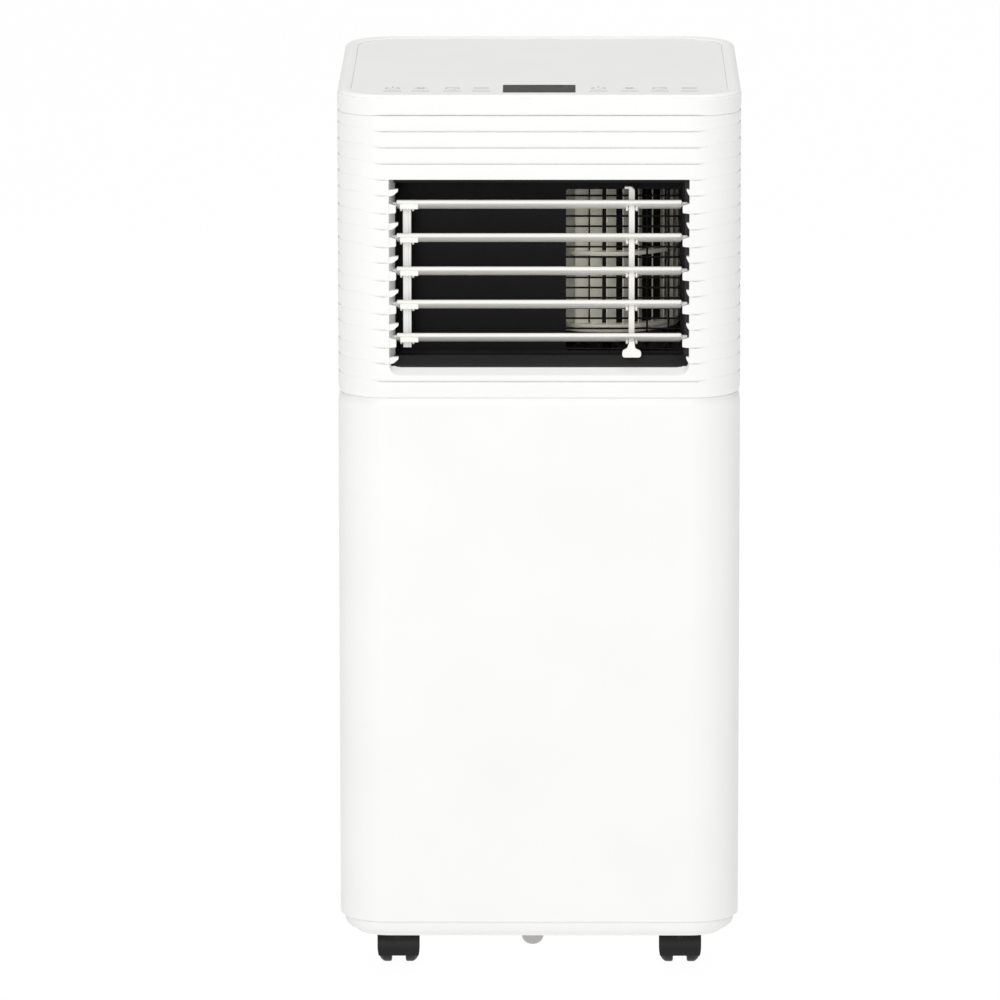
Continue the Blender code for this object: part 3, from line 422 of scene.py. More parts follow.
def add_slab(bm, outline, axis, low, high, edge=0.0, steps=3):
    """The outline extruded along an axis, with its end edges rounded by edge."""
    rings = []
    for end, outward in ((low, -1), (high, 1)):
        part = []
        for step in range(steps + 1 if edge else 1):
            angle = math.pi / 2 * step / steps
            inset = edge * (1 - math.sin(angle))
            part.append((inset, end - outward * edge * (1 - math.cos(angle))))
        rings.extend(part if outward < 0 else reversed(part))
    add_loft(bm, [along_axis(shrunk(outline, inset), axis, at) for inset, at in rings])


def add_turned(bm, profile, centre, axis, steps=40):
    """A closed profile of (radius, height) turned about an axis through the centre."""
    rows = []
    for radius, height in profile:
        circle = []
        for step in range(steps if radius > 0 else 1):
            angle = 2 * math.pi * step / steps
            circle.append((radius * math.cos(angle), radius * math.sin(angle)))
        spots = along_axis(circle, axis, height)
        rows.append([bm.verts.new(Vector(centre) + Vector(spot)) for spot in spots])
    for near, far in zip(rows, rows[1:] + rows[:1]):
        for step in range(steps if len(near) + len(far) > 2 else 0):
            beside = (step + 1) % steps
            corners = [near[step % len(near)], near[beside % len(near)]]
            corners += [far[beside % len(far)], far[step % len(far)]]
            bm.faces.new(list(dict.fromkeys(corners)))


def added(name, data):
    """A new object in the scene."""
    obj = bpy.data.objects.new(name, data)
    bpy.context.scene.collection.objects.link(obj)
    return obj


# The same solids, each in a new bmesh


def loft(rings):
    bm = bmesh.new()
    add_loft(bm, rings)
    return bm


def slab(outline, axis, low, high, edge=0.0, steps=3):
    bm = bmesh.new()
    add_slab(bm, outline, axis, low, high, edge, steps)
    return bm


def turned(profile, centre, axis, steps=40):
    bm = bmesh.new()
    add_turned(bm, profile, centre, axis, steps)
    return bm


# Finished meshes and objects


def settle(bm):
    """Merges points that coincide, and turns all faces outward."""
    bmesh.ops.remove_doubles(bm, verts=bm.verts, dist=1e-6)
    bmesh.ops.dissolve_degenerate(bm, dist=1e-7, edges=bm.edges)
    bmesh.ops.recalc_face_normals(bm, faces=bm.faces)


def combined(bm, operation, other):
    """bm with the solids in other joined to it or cut from it. Both are used up."""
    pair = []
    for solid in (bm, other):
        settle(solid)
        mesh = bpy.data.meshes.new("solid")
        solid.to_mesh(mesh)
        solid.free()
        pair.append(added("solid", mesh))
    base, helper = pair
    modifier = base.modifiers.new("combine", "BOOLEAN")
    modifier.operation = operation
    modifier.object = helper
    modifier.solver = "EXACT"
    result = bmesh.new()
    result.from_object(base, bpy.context.evaluated_depsgraph_get())
    for obj in pair:
        mesh = obj.data
        bpy.data.objects.remove(obj)
        bpy.data.meshes.remove(mesh)
    return result


def joined(bm, other):
    return combined(bm, "UNION", other)


def cut(bm, other):
    return combined(bm, "DIFFERENCE", other)


def piece(name, bm, slot, body, *nodes, sharp=38, finish=None):
    """A finished piece: it takes its slot's finish, rides on a body and replaces CAD nodes."""
    settle(bm)
    mesh = bpy.data.meshes.new(name)
    bm.to_mesh(mesh)
    bm.free()
    mesh.shade_smooth()
    mesh.set_sharp_from_angle(angle=math.radians(sharp))
    mesh.materials.append(finish or FINISHES[slot])
    obj = added(name, mesh)
    normals = obj.modifiers.new("normals", "WEIGHTED_NORMAL")
    normals.keep_sharp = True
    normals.weight = 50
    if nodes:
        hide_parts(*nodes)
    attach(obj, body)


# Cabinet


def corner_stations(side, end, inset=0.0, extra=0.0):
    """(point, outward normal) pairs round one corner. side and end are -1 or 1 for X and Y.

    The corner's radius shrinks with the inset, and is larger by extra.
    """
    radius = CORNER_RADIUS - inset + extra
    centre = (side * (HALF_WIDTH - inset - radius), end * (HALF_DEPTH - inset - radius))
    start = {(1, 1): 0, (-1, 1): 90, (-1, -1): 180, (1, -1): 270}[side, end]
    stations = []
    for normal in arc((0, 0), 1, start, start + 90, CORNER_STEPS):
        point = (centre[0] + normal[0] * radius, centre[1] + normal[1] * radius)
        stations.append((point, normal))
    return stations


def all_stations(inset=0.0, extra=0.0):
    corners = [(1, 1), (-1, 1), (-1, -1), (1, -1)]
    return [station for corner in corners for station in corner_stations(*corner, inset, extra)]


def cover_stations(end):
    """Stations of a front (-1) or rear (1) cover: side, corner, flat, corner, side."""
    seam = SPLIT_Y + end * GAP / 2
    left, right = corner_stations(-1, end), corner_stations(1, end)
    if end > 0:
        left.reverse()
        right.reverse()
    start, finish = ((-HALF_WIDTH, seam), (-1, 0)), ((HALF_WIDTH, seam), (1, 0))
    return [start, *left, *right, finish]


def sections(stations, section_at):
    """The points at each station. section_at(normal) gives (outset, z) points there."""
    return [
        [(x + normal[0] * out, y + normal[1] * out, z) for out, z in section_at(normal)]
        for (x, y), normal in stations
    ]


def cabinet_rings(profile, extra=0.0):
    """Rings of the cabinet's outline for (inset, z) points."""
    return [[(x, y, z) for (x, y), _ in all_stations(inset, extra)] for inset, z in profile]


def rib_line(number):
    """The height of a rib's lower edge. The top rib is number 1."""
    upper = FIRST_LINE - (min(number, UPPER_RIBS) - 1) * UPPER_PITCH
    pairs, single = divmod(max(number - UPPER_RIBS, 0), 2)
    return upper - pairs * PAIR_PITCH - single * FINGER_PITCH


def rib_depth(normal):
    """The ribs are at full depth on the flats, and nearly fade out over the corners."""
    slant = min(abs(normal[0]), abs(normal[1]))
    return RIB_DEPTH * (1 - CORNER_FADE * ease((slant - 0.08) / 0.26))


def rib_ledge(line, depth):
    """(outset, z) points of a rib's outer face, from the top of its shadow gap."""
    return [
        (-depth * SLIT_DEPTH / RIB_DEPTH, line + SLIT_HEIGHT),
        (-depth * 0.70, line + SLIT_HEIGHT + 0.0002), (-depth * 0.40, line + 0.0018),
        (-depth * 0.12, line + 0.0031), (0, line + 0.0046),
    ]


def rib_lift(normal):
    return SIDE_LIFT * ease((abs(normal[0]) - 0.10) / 0.45)


def head_section(normal):
    """From the wall's inner lower edge, up the ribs outside, to its inner upper edge."""
    depth, lift = rib_depth(normal), rib_lift(normal)
    bottom, top = HEAD_BOTTOM - GAP / 2 + HAIRLINE, rib_line(1)
    section = [
        (-HEAD_WALL, bottom), (-SLIT_DEPTH, bottom), (-SLIT_DEPTH, bottom + SLIT_HEIGHT),
        (-SEAM_DEPTH * 0.70, bottom + SLIT_HEIGHT + 0.0001), (-SEAM_DEPTH * 0.35, bottom + 0.0022),
        (0, bottom + 0.0050),
    ]
    for rib in range(RIB_COUNT - 1, 1, -1):
        line = rib_line(rib) + lift
        slit = depth * SLIT_DEPTH / RIB_DEPTH
        section += [(0, line - 0.0008), (-0.0003, line - 0.0001), (-slit, line)]
        section += rib_ledge(line, depth)
    return section + [(0, top - 0.0008), (-0.0003, top - 0.0001), (-HEAD_WALL, top)]


def body_section(_):
    low, high = BODY_BOTTOM, HEAD_BOTTOM - GAP / 2
    return [
        (-BODY_WALL, low), (-0.0008, low), (-0.0002, low + 0.0004), (0, low + 0.0010),
        (0, high - 0.0066), (-SEAM_DEPTH * 0.40, high - 0.0026), (-SEAM_DEPTH, high),
        (-BODY_WALL, high),
    ]


def top_side(normal):
    """(outset, z) points of the top cover's outer face, from its lower edge to its rim."""
    depth, line = rib_depth(normal), rib_line(1)
    side = [(-depth * SLIT_DEPTH / RIB_DEPTH, line + HAIRLINE), *rib_ledge(line, depth)]
    return side + [
        (0.0, HEIGHT - 0.0034), (-0.0004, HEIGHT - 0.0029), (-0.0010, HEIGHT - 0.0027),
        (-0.0009, HEIGHT - 0.0020), (-0.0018, HEIGHT - 0.0012), (-0.0034, HEIGHT - 0.0004),
        (-0.0052, HEIGHT),
    ]


def make_top():
    line, pocket = rib_line(1), PANEL_BOTTOM - 0.0004
    rings = cabinet_rings([(HEAD_WALL, pocket - 0.0030), (HEAD_WALL, line + HAIRLINE)])
    rings += zip(*sections(all_stations(), top_side))
    extra = PANEL_RADIUS - CORNER_RADIUS + RIM_WIDTH
    rim = [(0.0072, HEIGHT - 0.0002), (RIM_WIDTH, HEIGHT - 0.0011), (RIM_WIDTH, pocket)]
    rings += cabinet_rings(rim, extra)
    piece("top_shell", loft(rings), "white_plastic", "cabinet", "top_cover")
    inset = RIM_WIDTH + HAIRLINE / 2
    plate = [
        (inset, PANEL_BOTTOM), (inset, PANEL_TOP - 0.0004), (inset + 0.0002, PANEL_TOP - 0.0001),
        (inset + 0.0006, PANEL_TOP),
    ]
    bm = loft(cabinet_rings(plate, extra))
    half = DISPLAY_HALF_WIDTH
    outline = rounded(rectangle(-half, DISPLAY_FRONT, half, DISPLAY_BACK), 0.0012)
    hole = slab(outline, "Z", PANEL_BOTTOM - 0.01, PANEL_TOP + 0.01)
    piece("touch_panel", cut(bm, hole), "pale_grey_plastic", "cabinet", "control_panel")
    window = shrunk(outline, 0.0002)
    bm = slab(window, "Z", PANEL_BOTTOM, PANEL_TOP - 0.0001, edge=0.0003)
    piece("display_glass", bm, "display_smoke", "cabinet", "display_window")


def add_ring(bm, centre, outer, inner, start=0, end=360):
    """A thin flat ring or part of one, as printed on the panel."""
    steps = max(6, int((end - start) / 15))
    outside = arc(centre, outer, start, end, steps)
    inside = arc(centre, inner, end, start, steps)
    if end - start < 360:
        add_loft(bm, [along_axis(outside + inside, "Z", z) for z in SYMBOL_ENDS])
        return
    low, high = SYMBOL_ENDS
    profile = [(outer, low), (outer, high), (inner, high), (inner, low)]
    add_turned(bm, profile, (*centre, 0), "Z", 24)


def add_bar(bm, centre, width, depth, turn=0.0):
    spin = Matrix.Rotation(turn, 2)
    half = rectangle(-width / 2, -depth / 2, width / 2, depth / 2)
    outline = [tuple(Vector(centre) + spin @ Vector(corner)) for corner in half]
    add_loft(bm, [along_axis(outline, "Z", z) for z in SYMBOL_ENDS])


def make_symbols():
    """Eight generic touch symbols: a small sign with a short dash in front of it."""
    middle_y = DISPLAY_FRONT + 0.0180
    for number, x in enumerate(SYMBOL_PLACES):
        bm = bmesh.new()
        spot = (x, middle_y + 0.0051)
        if number % 4 == 0:
            add_ring(bm, spot, SIGN_RADIUS, SIGN_RADIUS - SYMBOL_LINE, 120, 420)
            add_bar(bm, (x, spot[1] + SIGN_RADIUS), SYMBOL_LINE, SIGN_RADIUS)
        elif number % 4 == 1:
            for turn in (0, math.radians(60), math.radians(120)):
                add_bar(bm, spot, 2 * SIGN_RADIUS, SYMBOL_LINE, turn)
        elif number % 4 == 2:
            add_ring(bm, spot, SIGN_RADIUS, SIGN_RADIUS - SYMBOL_LINE)
            add_bar(bm, (x + 0.0016, spot[1]), 0.0030, SYMBOL_LINE)
        else:
            for rise in (-0.0035, 0.0, 0.0035):
                add_bar(bm, (x, spot[1] + rise), 2 * SIGN_RADIUS, SYMBOL_LINE)
        add_bar(bm, (x, middle_y - 0.0100), 0.0134, 0.0024)
        name = f"touch_symbol_{number + 1}"
        piece(name, bm, "pale_grey_plastic", "cabinet", finish=SYMBOL_INK)


def outlet_outline(bottom):
    half, top = OUTLET_HALF_WIDTH, OUTLET_TOP
    low, high = 0.0090, 0.0012
    corners = [(-half, bottom, low), (half, bottom, low), (half, top, high), (-half, top, high)]
    return rounded(corners, 0.0, steps=5)


def cheek(side, back_x):
    """The inner wall at one side of the outlet."""
    front, back, wall = FRONT + 0.0015, FRONT + 0.0205, 0.0030
    x = OUTLET_HALF_WIDTH
    plan = [(x, front), (x + wall, front), (back_x + wall, back), (back_x, back)]
    outline = [(side * across, y) for across, y in plan]
    return slab(outline, "Z", OUTLET_BOTTOM - 0.0045, OUTLET_TOP + 0.0025)


def add_finger(bm, side, line, tip):
    """A rib's end that reaches into the outlet, with its tip turned up."""
    root, bend = RIB_ROOT, tip + 0.42 * (RIB_ROOT - tip)
    outline = [
        (root, line - 0.0005, 0), (bend, line + 0.0004, 0.004),
        (tip + 0.0006, line + 0.0034, 0.001), (tip, line + 0.0054, 0.0012),
        (bend, line + 0.0052, 0.003), (root, line + 0.0046, 0),
    ]
    flat = [(side * x, z) for x, z in rounded(outline, 0.0, steps=3)]
    add_slab(bm, flat, "Y", FRONT + 0.0016, FRONT + 0.0064, edge=0.0003, steps=2)


def add_holder(bm, side, line, tip):
    """A rib's end level with a vane, which carries the vane's pivot."""
    outline = [(RIB_ROOT, line, 0), (tip, line + 0.0008, 0.0008)]
    outline += [(tip, line + 0.0066, 0.0012), (RIB_ROOT, line + 0.0086, 0)]
    flat = [(side * x, z) for x, z in rounded(outline, 0.0, steps=3)]
    add_slab(bm, flat, "Y", FRONT + 0.0016, FRONT + 0.0074, edge=0.0004, steps=2)


def make_head_front():
    bm = loft(sections(cover_stations(-1), head_section))
    block = rectangle(-HALF_WIDTH + 0.036, FRONT + 0.0030, HALF_WIDTH - 0.036, FRONT + 0.0062)
    bm = joined(bm, slab(block, "Z", OUTLET_BOTTOM - 0.0090, OUTLET_BOTTOM + 0.0010))
    rings = [
        (FRONT - 0.0100, OUTLET_BOTTOM - LIP_DEPTH - 0.0100), (FRONT + LIP_DEPTH, OUTLET_BOTTOM),
        (FRONT + 0.0200, OUTLET_BOTTOM),
    ]
    bm = cut(bm, loft([along_axis(outlet_outline(bottom), "Y", y) for y, bottom in rings]))
    for side, back_x in ((-1, 0.1070), (1, OUTLET_HALF_WIDTH)):
        bm = joined(bm, cheek(side, back_x))
    for side, tip, holder_tip in ((-1, 0.1040, 0.1060), (1, 0.1088, 0.1062)):
        ends = bmesh.new()
        for rib in range(UPPER_RIBS + 1, UPPER_RIBS + 1 + 2 * VANE_COUNT, 2):
            add_finger(ends, side, rib_line(rib), tip)
            add_holder(ends, side, rib_line(rib + 1), holder_tip)
        add_finger(ends, side, rib_line(UPPER_RIBS + 1 + 2 * VANE_COUNT), tip)
        bm = joined(bm, ends)
    holes = bmesh.new()
    for side in (-1, 1):
        for number in range(1, VANE_COUNT + 1):
            spot = (side * OUTLET_HALF_WIDTH, VANE_PIVOT_Y, vane_z(number))
            add_turned(holes, rod(0.0020, -0.0070, 0.0070), spot, "X", 12)
    piece("head_front", cut(bm, holes), "white_plastic", "cabinet", "front_upper_cover")


def grille_hole(node):
    low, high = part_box(node)
    outline = rectangle(low.x - GAP, low.z - GAP, high.x + GAP, high.z + GAP)
    return slab(rounded(outline, 0.0015), "Y", HALF_DEPTH - 0.02, HALF_DEPTH + 0.01)


def make_head_rear():
    bm = cut(loft(sections(cover_stations(1), head_section)), grille_hole("upper_grille"))
    piece("head_rear", bm, "white_plastic", "cabinet", "rear_upper_cover")


def make_body():
    low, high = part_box("grip_left")
    outline = rectangle(low.y - GAP, low.z - GAP, high.y + GAP, high.z + GAP)
    hole = slab(rounded(outline, 0.0040), "X", -HALF_WIDTH - 0.01, HALF_WIDTH + 0.01)
    bm = cut(loft(sections(cover_stations(-1), body_section)), hole)
    piece("body_front", bm, "white_plastic", "cabinet", "front_lower_cover")
    holes = grille_hole("lower_grille")
    for node in ("exhaust_collar", "drain_plug_upper", "drain_plug_lower", "cord_gland"):
        trim = COLLAR_FLANGE if node == "exhaust_collar" else 0.0
        low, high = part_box(node)
        radius = (high.x - low.x) / 2 - trim + GAP
        centre = (middle_of(node).x, HALF_DEPTH, middle_of(node).z)
        add_turned(holes, rod(radius, -0.01, 0.01), centre, "Y", 64)
    bm = cut(loft(sections(cover_stations(1), body_section)), holes)
    piece("body_rear", bm, "white_plastic", "cabinet", "rear_lower_cover")


def make_grips():
    for node, side in (("grip_left", -1), ("grip_right", 1)):
        low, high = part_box(node)
        mouth = HALF_WIDTH - 0.0003
        floor = HALF_WIDTH - 0.0210
        outer = rounded(rectangle(low.y, low.z, high.y, high.z), 0.0040, steps=4)
        wall = 0.0018
        inner = rectangle(low.y + wall, low.z + wall, high.y - wall, high.z - wall)
        inner = rounded(inner, 0.0034, steps=4)
        rings = [
            (outer, floor), (outer, mouth - 0.0004), (shrunk(outer, 0.0004), mouth),
            (shrunk(inner, -0.0005), mouth), (inner, mouth - 0.0006),
            (shrunk(inner, 0.0002), floor + 0.0040), (shrunk(inner, 0.0016), floor + 0.0020),
        ]
        bm = loft([along_axis(outline, "X", side * x) for outline, x in rings])
        piece(f"{node}_pocket", bm, "white_plastic", "cabinet", node)


def make_base():
    profile = [
        (0.0075, BASE_BOTTOM + 0.0045), (0.0068, 0.0600), (BASE_INSET, 0.0600),
        (BASE_INSET, 0.0412), (0.0036, 0.0380), (0.0048, 0.0355), (0.0068, 0.0337),
        (0.0094, 0.0327), (0.0130, BASE_BOTTOM),
    ]
    bm = loft(cabinet_rings(profile))
    holes = bmesh.new()
    for number in range(1, 5):
        x, y = caster_stem(number)
        add_turned(holes, rod(0.0046, 0.02, 0.05), (x, y, 0), "Z", 24)
    middle = middle_of("base_bolt")
    add_turned(holes, rod(0.0029, 0.02, 0.05), (middle.x + BOLT_SHIFT, middle.y, 0), "Z", 24)
    middle = middle_of("drain_plug_lower")
    add_turned(holes, rod(0.0084, -0.012, 0.0), (middle.x, HALF_DEPTH, middle.z), "Y", 32)
    piece("base_shell", cut(bm, holes), "pale_grey_plastic", "cabinet", "base_pan")


# Louvre


def vane_z(number):
    return TOP_VANE_Z - (number - 1) * VANE_PITCH


def tilted(point, number):
    """A point given in a vane's own plane, moved to the vane's place and tilt."""
    x, along, up = point
    y = along * math.cos(VANE_TILT) - up * math.sin(VANE_TILT)
    z = along * math.sin(VANE_TILT) + up * math.cos(VANE_TILT)
    return (x, VANE_PIVOT_Y + y, vane_z(number) + z)


def vane_section(tail):
    """A round nose, a flat underside, and a thinner tail that may be cut short by a notch."""
    nose = arc((VANE_NOSE + 0.0015, -0.0002), 0.0015, 80, 280, 8)
    lower = [(-0.0040, -0.0019), (min(tail, 0.0040) - 0.0002, -0.0017)]
    end = [(tail - 0.0004, -0.0014), (tail, -0.0009), (tail, 0.0004), (tail - 0.0004, 0.0008)]
    upper = [(min(tail, 0.0040) - 0.0002, 0.0011), (-0.0040, 0.00125)]
    return nose + lower + end + upper


def notches():
    ranges = []
    for x, width in ((LINK_X, LINK_WIDTH), (LEVER_X, LEVER_WIDTH)):
        half = width / 2 + 0.0005
        ranges.append((x - half, x + half))
    return ranges


def vane_rings():
    """(x, section) pairs from end to end, short behind the nose at each notch."""
    full, short = vane_section(VANE_TAIL), vane_section(-0.0010)
    end, edge = VANE_HALF_LENGTH, 0.0004
    rings = [(-end, shrunk(full, edge)), (-end + edge, full)]
    for left, right in notches():
        rings += [(left, full), (left, short), (right, short), (right, full)]
    return rings + [(end - edge, full), (end, shrunk(full, edge))]


def make_vane(number):
    """A vane in its own plane, with pivots, ears, pins and a lug, then tilted into place."""
    bm = loft([along_axis(section, "X", x) for x, section in vane_rings()])
    end = VANE_HALF_LENGTH
    for side in (-1, 1):
        boss = [
            (0, end - 0.0060), (0.0021, end - 0.0060), (0.0021, end + 0.0003),
            (PIVOT_RADIUS, end + 0.0006), (PIVOT_RADIUS, PIVOT_REACH - 0.0003),
            (PIVOT_RADIUS - 0.0003, PIVOT_REACH), (0, PIVOT_REACH),
        ]
        bm = joined(bm, turned([(radius, side * x) for radius, x in boss], (0, 0, 0), "X", 20))
    ears = bmesh.new()
    for left, right in notches():
        for low, high in ((left - 0.0016, left - 0.0001), (right + 0.0001, right + 0.0016)):
            outline = rectangle(PIN_ALONG - 0.0022, -0.0043, PIN_ALONG + 0.0022, 0.0)
            add_slab(ears, rounded(outline, 0.0014), "X", low, high)
    bm = joined(bm, ears)
    block = [(-0.0066, 0.0, 0.0), (-0.0066, -0.0058, 0.0016)]
    block += [(-0.0024, -0.0042, 0.0012), (-0.0024, 0.0, 0.0)]
    bm = joined(bm, slab(rounded(block, 0.0), "X", LINK_X - 0.0052, LINK_X + 0.0084, edge=0.0005))
    pins = bmesh.new()
    for left, right in notches():
        half = (right - left) / 2 + 0.0008
        centre = ((left + right) / 2, PIN_ALONG, PIN_BELOW)
        add_turned(pins, rod(PIN_RADIUS, -half, half), centre, "X", 12)
    bm = joined(bm, pins)
    for vertex in bm.verts:
        vertex.co = tilted(vertex.co, number)
    name = f"vane_{number}"
    piece(f"{name}_blade", bm, "white_plastic", name, name, finish=IVORY)


def pin_place(number):
    return tilted((0, PIN_ALONG, PIN_BELOW), number)[1:]


def cut_pin_holes(bm, x, width):
    holes = bmesh.new()
    for number in range(1, VANE_COUNT + 1):
        add_turned(holes, rod(0.0013, -width, width), (x, *pin_place(number)), "X", 12)
    return cut(bm, holes)


def make_link():
    """The bar at the left that keeps the vanes parallel. A shallow groove runs down its front."""
    y, top = pin_place(1)
    bottom = pin_place(VANE_COUNT)[1]
    half, front, back = LINK_WIDTH / 2, y - BAR_DEPTH / 2, y + BAR_DEPTH / 2
    outline = [
        (-half, front, 0.0007), (half * 0.22, front, 0.0), (half * 0.36, front + 0.0006, 0.0),
        (half * 0.52, front, 0.0), (half, front, 0.0007), (half, back, 0.0004),
        (-half, back, 0.0004),
    ]
    section = [(LINK_X + x, depth) for x, depth in rounded(outline, 0.0)]
    bm = slab(section, "Z", bottom - 0.0040, top + 0.0040, edge=0.0002, steps=1)
    bm = cut_pin_holes(bm, LINK_X, LINK_WIDTH)
    piece("link_bar", bm, "white_plastic", "vane_link", "vane_link")


def make_lever():
    """The bar at the right. Its top is hooked, and its foot carries a thumb tab in front."""
    y, top = pin_place(1)
    low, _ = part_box("vane_lever")
    half, head = LEVER_WIDTH / 2, top + 0.0168
    bar = [
        (-half, low.z + 0.0030, 0.0008), (half, low.z + 0.0030, 0.0008),
        (half, head - 0.0026, 0.0012), (half - 0.0022, head, 0.0012), (-0.0052, head, 0.0008),
        (-0.0056, head - 0.0018, 0.0008), (-half, head - 0.0016, 0.0008),
    ]
    outline = [(LEVER_X + x, z) for x, z in rounded(bar, 0.0004)]
    bm = slab(outline, "Y", y - BAR_DEPTH / 2, y + BAR_DEPTH / 2, edge=0.0003, steps=2)
    behind, over, under = low.y + 0.0012, low.z + 0.0046, low.z + 0.0030
    side = [(y, over), (behind, over), (behind, under), (y, under)]
    neck = slab(rounded(side, 0.0004), "X", LEVER_X - half + 0.0003, LEVER_X + half - 0.0003)
    bm = joined(bm, neck)
    front = [
        (-0.0070, low.z, 0.0020), (0.0070, low.z, 0.0026), (0.0070, low.z + 0.0048, 0.0022),
        (half + 0.0004, low.z + 0.0070, 0.0014), (half - 0.0002, low.z + 0.0120, 0.0010),
        (-half + 0.0004, low.z + 0.0120, 0.0010), (-half - 0.0012, low.z + 0.0070, 0.0014),
        (-0.0070, low.z + 0.0052, 0.0022),
    ]
    outline = [(LEVER_X + x, z) for x, z in rounded(front, 0.0)]
    bm = joined(bm, slab(outline, "Y", low.y, low.y + 0.0025, edge=0.0005))
    bm = cut_pin_holes(bm, LEVER_X, LEVER_WIDTH)
    piece("lever_bar", bm, "white_plastic", "vane_lever", "vane_lever", finish=IVORY)


# Behind the louvre


def make_shroud():
    """The outlet's black lining: ceiling, back and floor, and a flange at each side."""
    front = FRONT + LIP_DEPTH + 0.0002
    floor, ceiling = OUTLET_BOTTOM + 0.0002, OUTLET_TOP - 0.0004
    back, wall = THROAT_BACK, 0.0020
    profile = [
        (front, floor - 0.0012, 0.0003), (back + wall, floor - 0.0012, 0.0004),
        (back + wall, ceiling + 0.0012, 0.0004), (front - 0.0010, ceiling + 0.0012, 0.0003),
        (front - 0.0010, ceiling - 0.0022, 0.0003), (front + 0.0012, ceiling - 0.0022, 0.0003),
        (front + 0.0012, ceiling, 0.0003), (back, ceiling, 0.0040), (back, floor + 0.0006, 0.0060),
        (front, floor, 0.0006),
    ]
    reach = OUTLET_HALF_WIDTH - 0.0034
    bm = slab(rounded(profile, 0.0), "X", -reach, reach)
    flanges = bmesh.new()
    for x, start in ((-reach + 0.0008, FRONT + 0.0220), (reach - 0.0008, FRONT + 0.0176)):
        plan = rectangle(x - 0.0008, start, x + 0.0008, back + wall / 2)
        add_slab(flanges, plan, "Z", floor - 0.0006, ceiling + 0.0006)
    bm = joined(bm, flanges)
    outline = rectangle(WINDOW_LEFT, floor + 0.0060, WINDOW_RIGHT, ceiling - 0.0130)
    window = slab(rounded(outline, 0.0020), "Y", back - 0.01, back + 0.01)
    seam = rectangle(-0.0472, floor + 0.010, -0.0466, ceiling - 0.008)
    add_slab(window, seam, "Y", back - 0.01, back + 0.0006)
    piece("throat_lining", cut(bm, window), "black_plastic", "cabinet", "outlet_shroud")
    plan = rectangle(reach + 0.0002, FRONT + 0.0176, OUTLET_HALF_WIDTH - 0.0002, FRONT + 0.0200)
    piece("throat_edge", slab(plan, "Z", floor, ceiling), "charcoal_plastic", "cabinet")


def make_sill():
    """The charcoal sill along the outlet's lower edge, with rounded lower corners."""
    half = OUTLET_HALF_WIDTH - 0.0003
    top = OUTLET_BOTTOM + 0.0074
    low = OUTLET_BOTTOM + 0.0003
    corners = [(-half, low, 0.0088), (half, low, 0.0088), (half, top, 0.0), (-half, top, 0.0)]
    outline = rounded(corners, 0.0, steps=5)
    front = FRONT + LIP_DEPTH + 0.0002
    rings = []
    for depth, rise in ((0.0, -0.0062), (0.0016, -0.0060), (0.0110, 0.0)):
        rings.append([(x, front + depth, min(z, top + rise)) for x, z in outline])
    piece("outlet_sill", loft(rings), "charcoal_plastic", "cabinet")


def make_guard():
    """The finger guard: thin wires across, and fewer upright ones."""
    low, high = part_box("outlet_guard")
    y = THROAT_BACK + 0.0032
    bm = bmesh.new()
    rows, radius = 16, 0.00075
    pitch = (high.z - low.z - 0.004) / rows
    for row in range(rows + 1):
        z = low.z + 0.002 + row * pitch
        add_turned(bm, rod(radius, low.x, high.x), (0, y, z), "X", 8)
    uprights = bmesh.new()
    for x in (low.x + 0.001, 0.0805, 0.0965, high.x - 0.0006):
        add_turned(uprights, rod(radius, low.z, high.z), (x, y + 0.0009, 0), "Z", 8)
    piece("guard_wires", joined(bm, uprights), "black_plastic", "cabinet", "outlet_guard")


def make_fan(name, node, body, blades, rings_at):
    """A squirrel-cage wheel: curved blades between rings, on a disc and a shaft."""
    low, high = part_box(node)
    centre = Vector((middle_of(node).x, middle_of(node).y, 0))
    radius = (high.x - low.x) / 2
    bottom, top = low.z + MOTOR_ROOM, high.z
    hub = [
        (0, bottom), (radius - 0.0003, bottom), (radius, bottom + 0.0004),
        (radius, bottom + 0.0022), (radius - WHEEL_WALL, bottom + 0.0026),
        (0.0120, bottom + 0.0030), (0.0080, bottom + 0.0160), (0, bottom + 0.0170),
    ]
    bm = turned(hub, centre, "Z", 64)
    for share in rings_at:
        z = bottom + 0.003 + share * (top - bottom - 0.0060)
        band = rounded(rectangle(radius - WHEEL_WALL, z, radius - 0.0001, z + 0.0030), 0.0004, 2)
        add_turned(bm, band, centre, "Z", 64)
    for blade in range(blades):
        angle = BLADE_START + 2 * math.pi * blade / blades
        points = []
        for step in range(6):
            share = step / 5
            out = radius - WHEEL_WALL + share * (WHEEL_WALL - 0.0004)
            turn = angle - BLADE_SWEEP * share
            points.append((centre.x + out * math.cos(turn), centre.y + out * math.sin(turn)))
        side = Vector((math.cos(angle + 1.0), math.sin(angle + 1.0))) * BLADE_THICKNESS
        outline = points + [(x + side.x, y + side.y) for x, y in reversed(points)]
        add_loft(bm, [along_axis(outline, "Z", z) for z in (bottom + 0.0015, top - 0.0015)])
    piece(name, bm, "fan_plastic", body, node)
    shaft = turned(rod(0.0030, low.z, bottom), centre, "Z", 16)
    piece(f"{name}_shaft", shaft, "black_plastic", body, sharp=50)


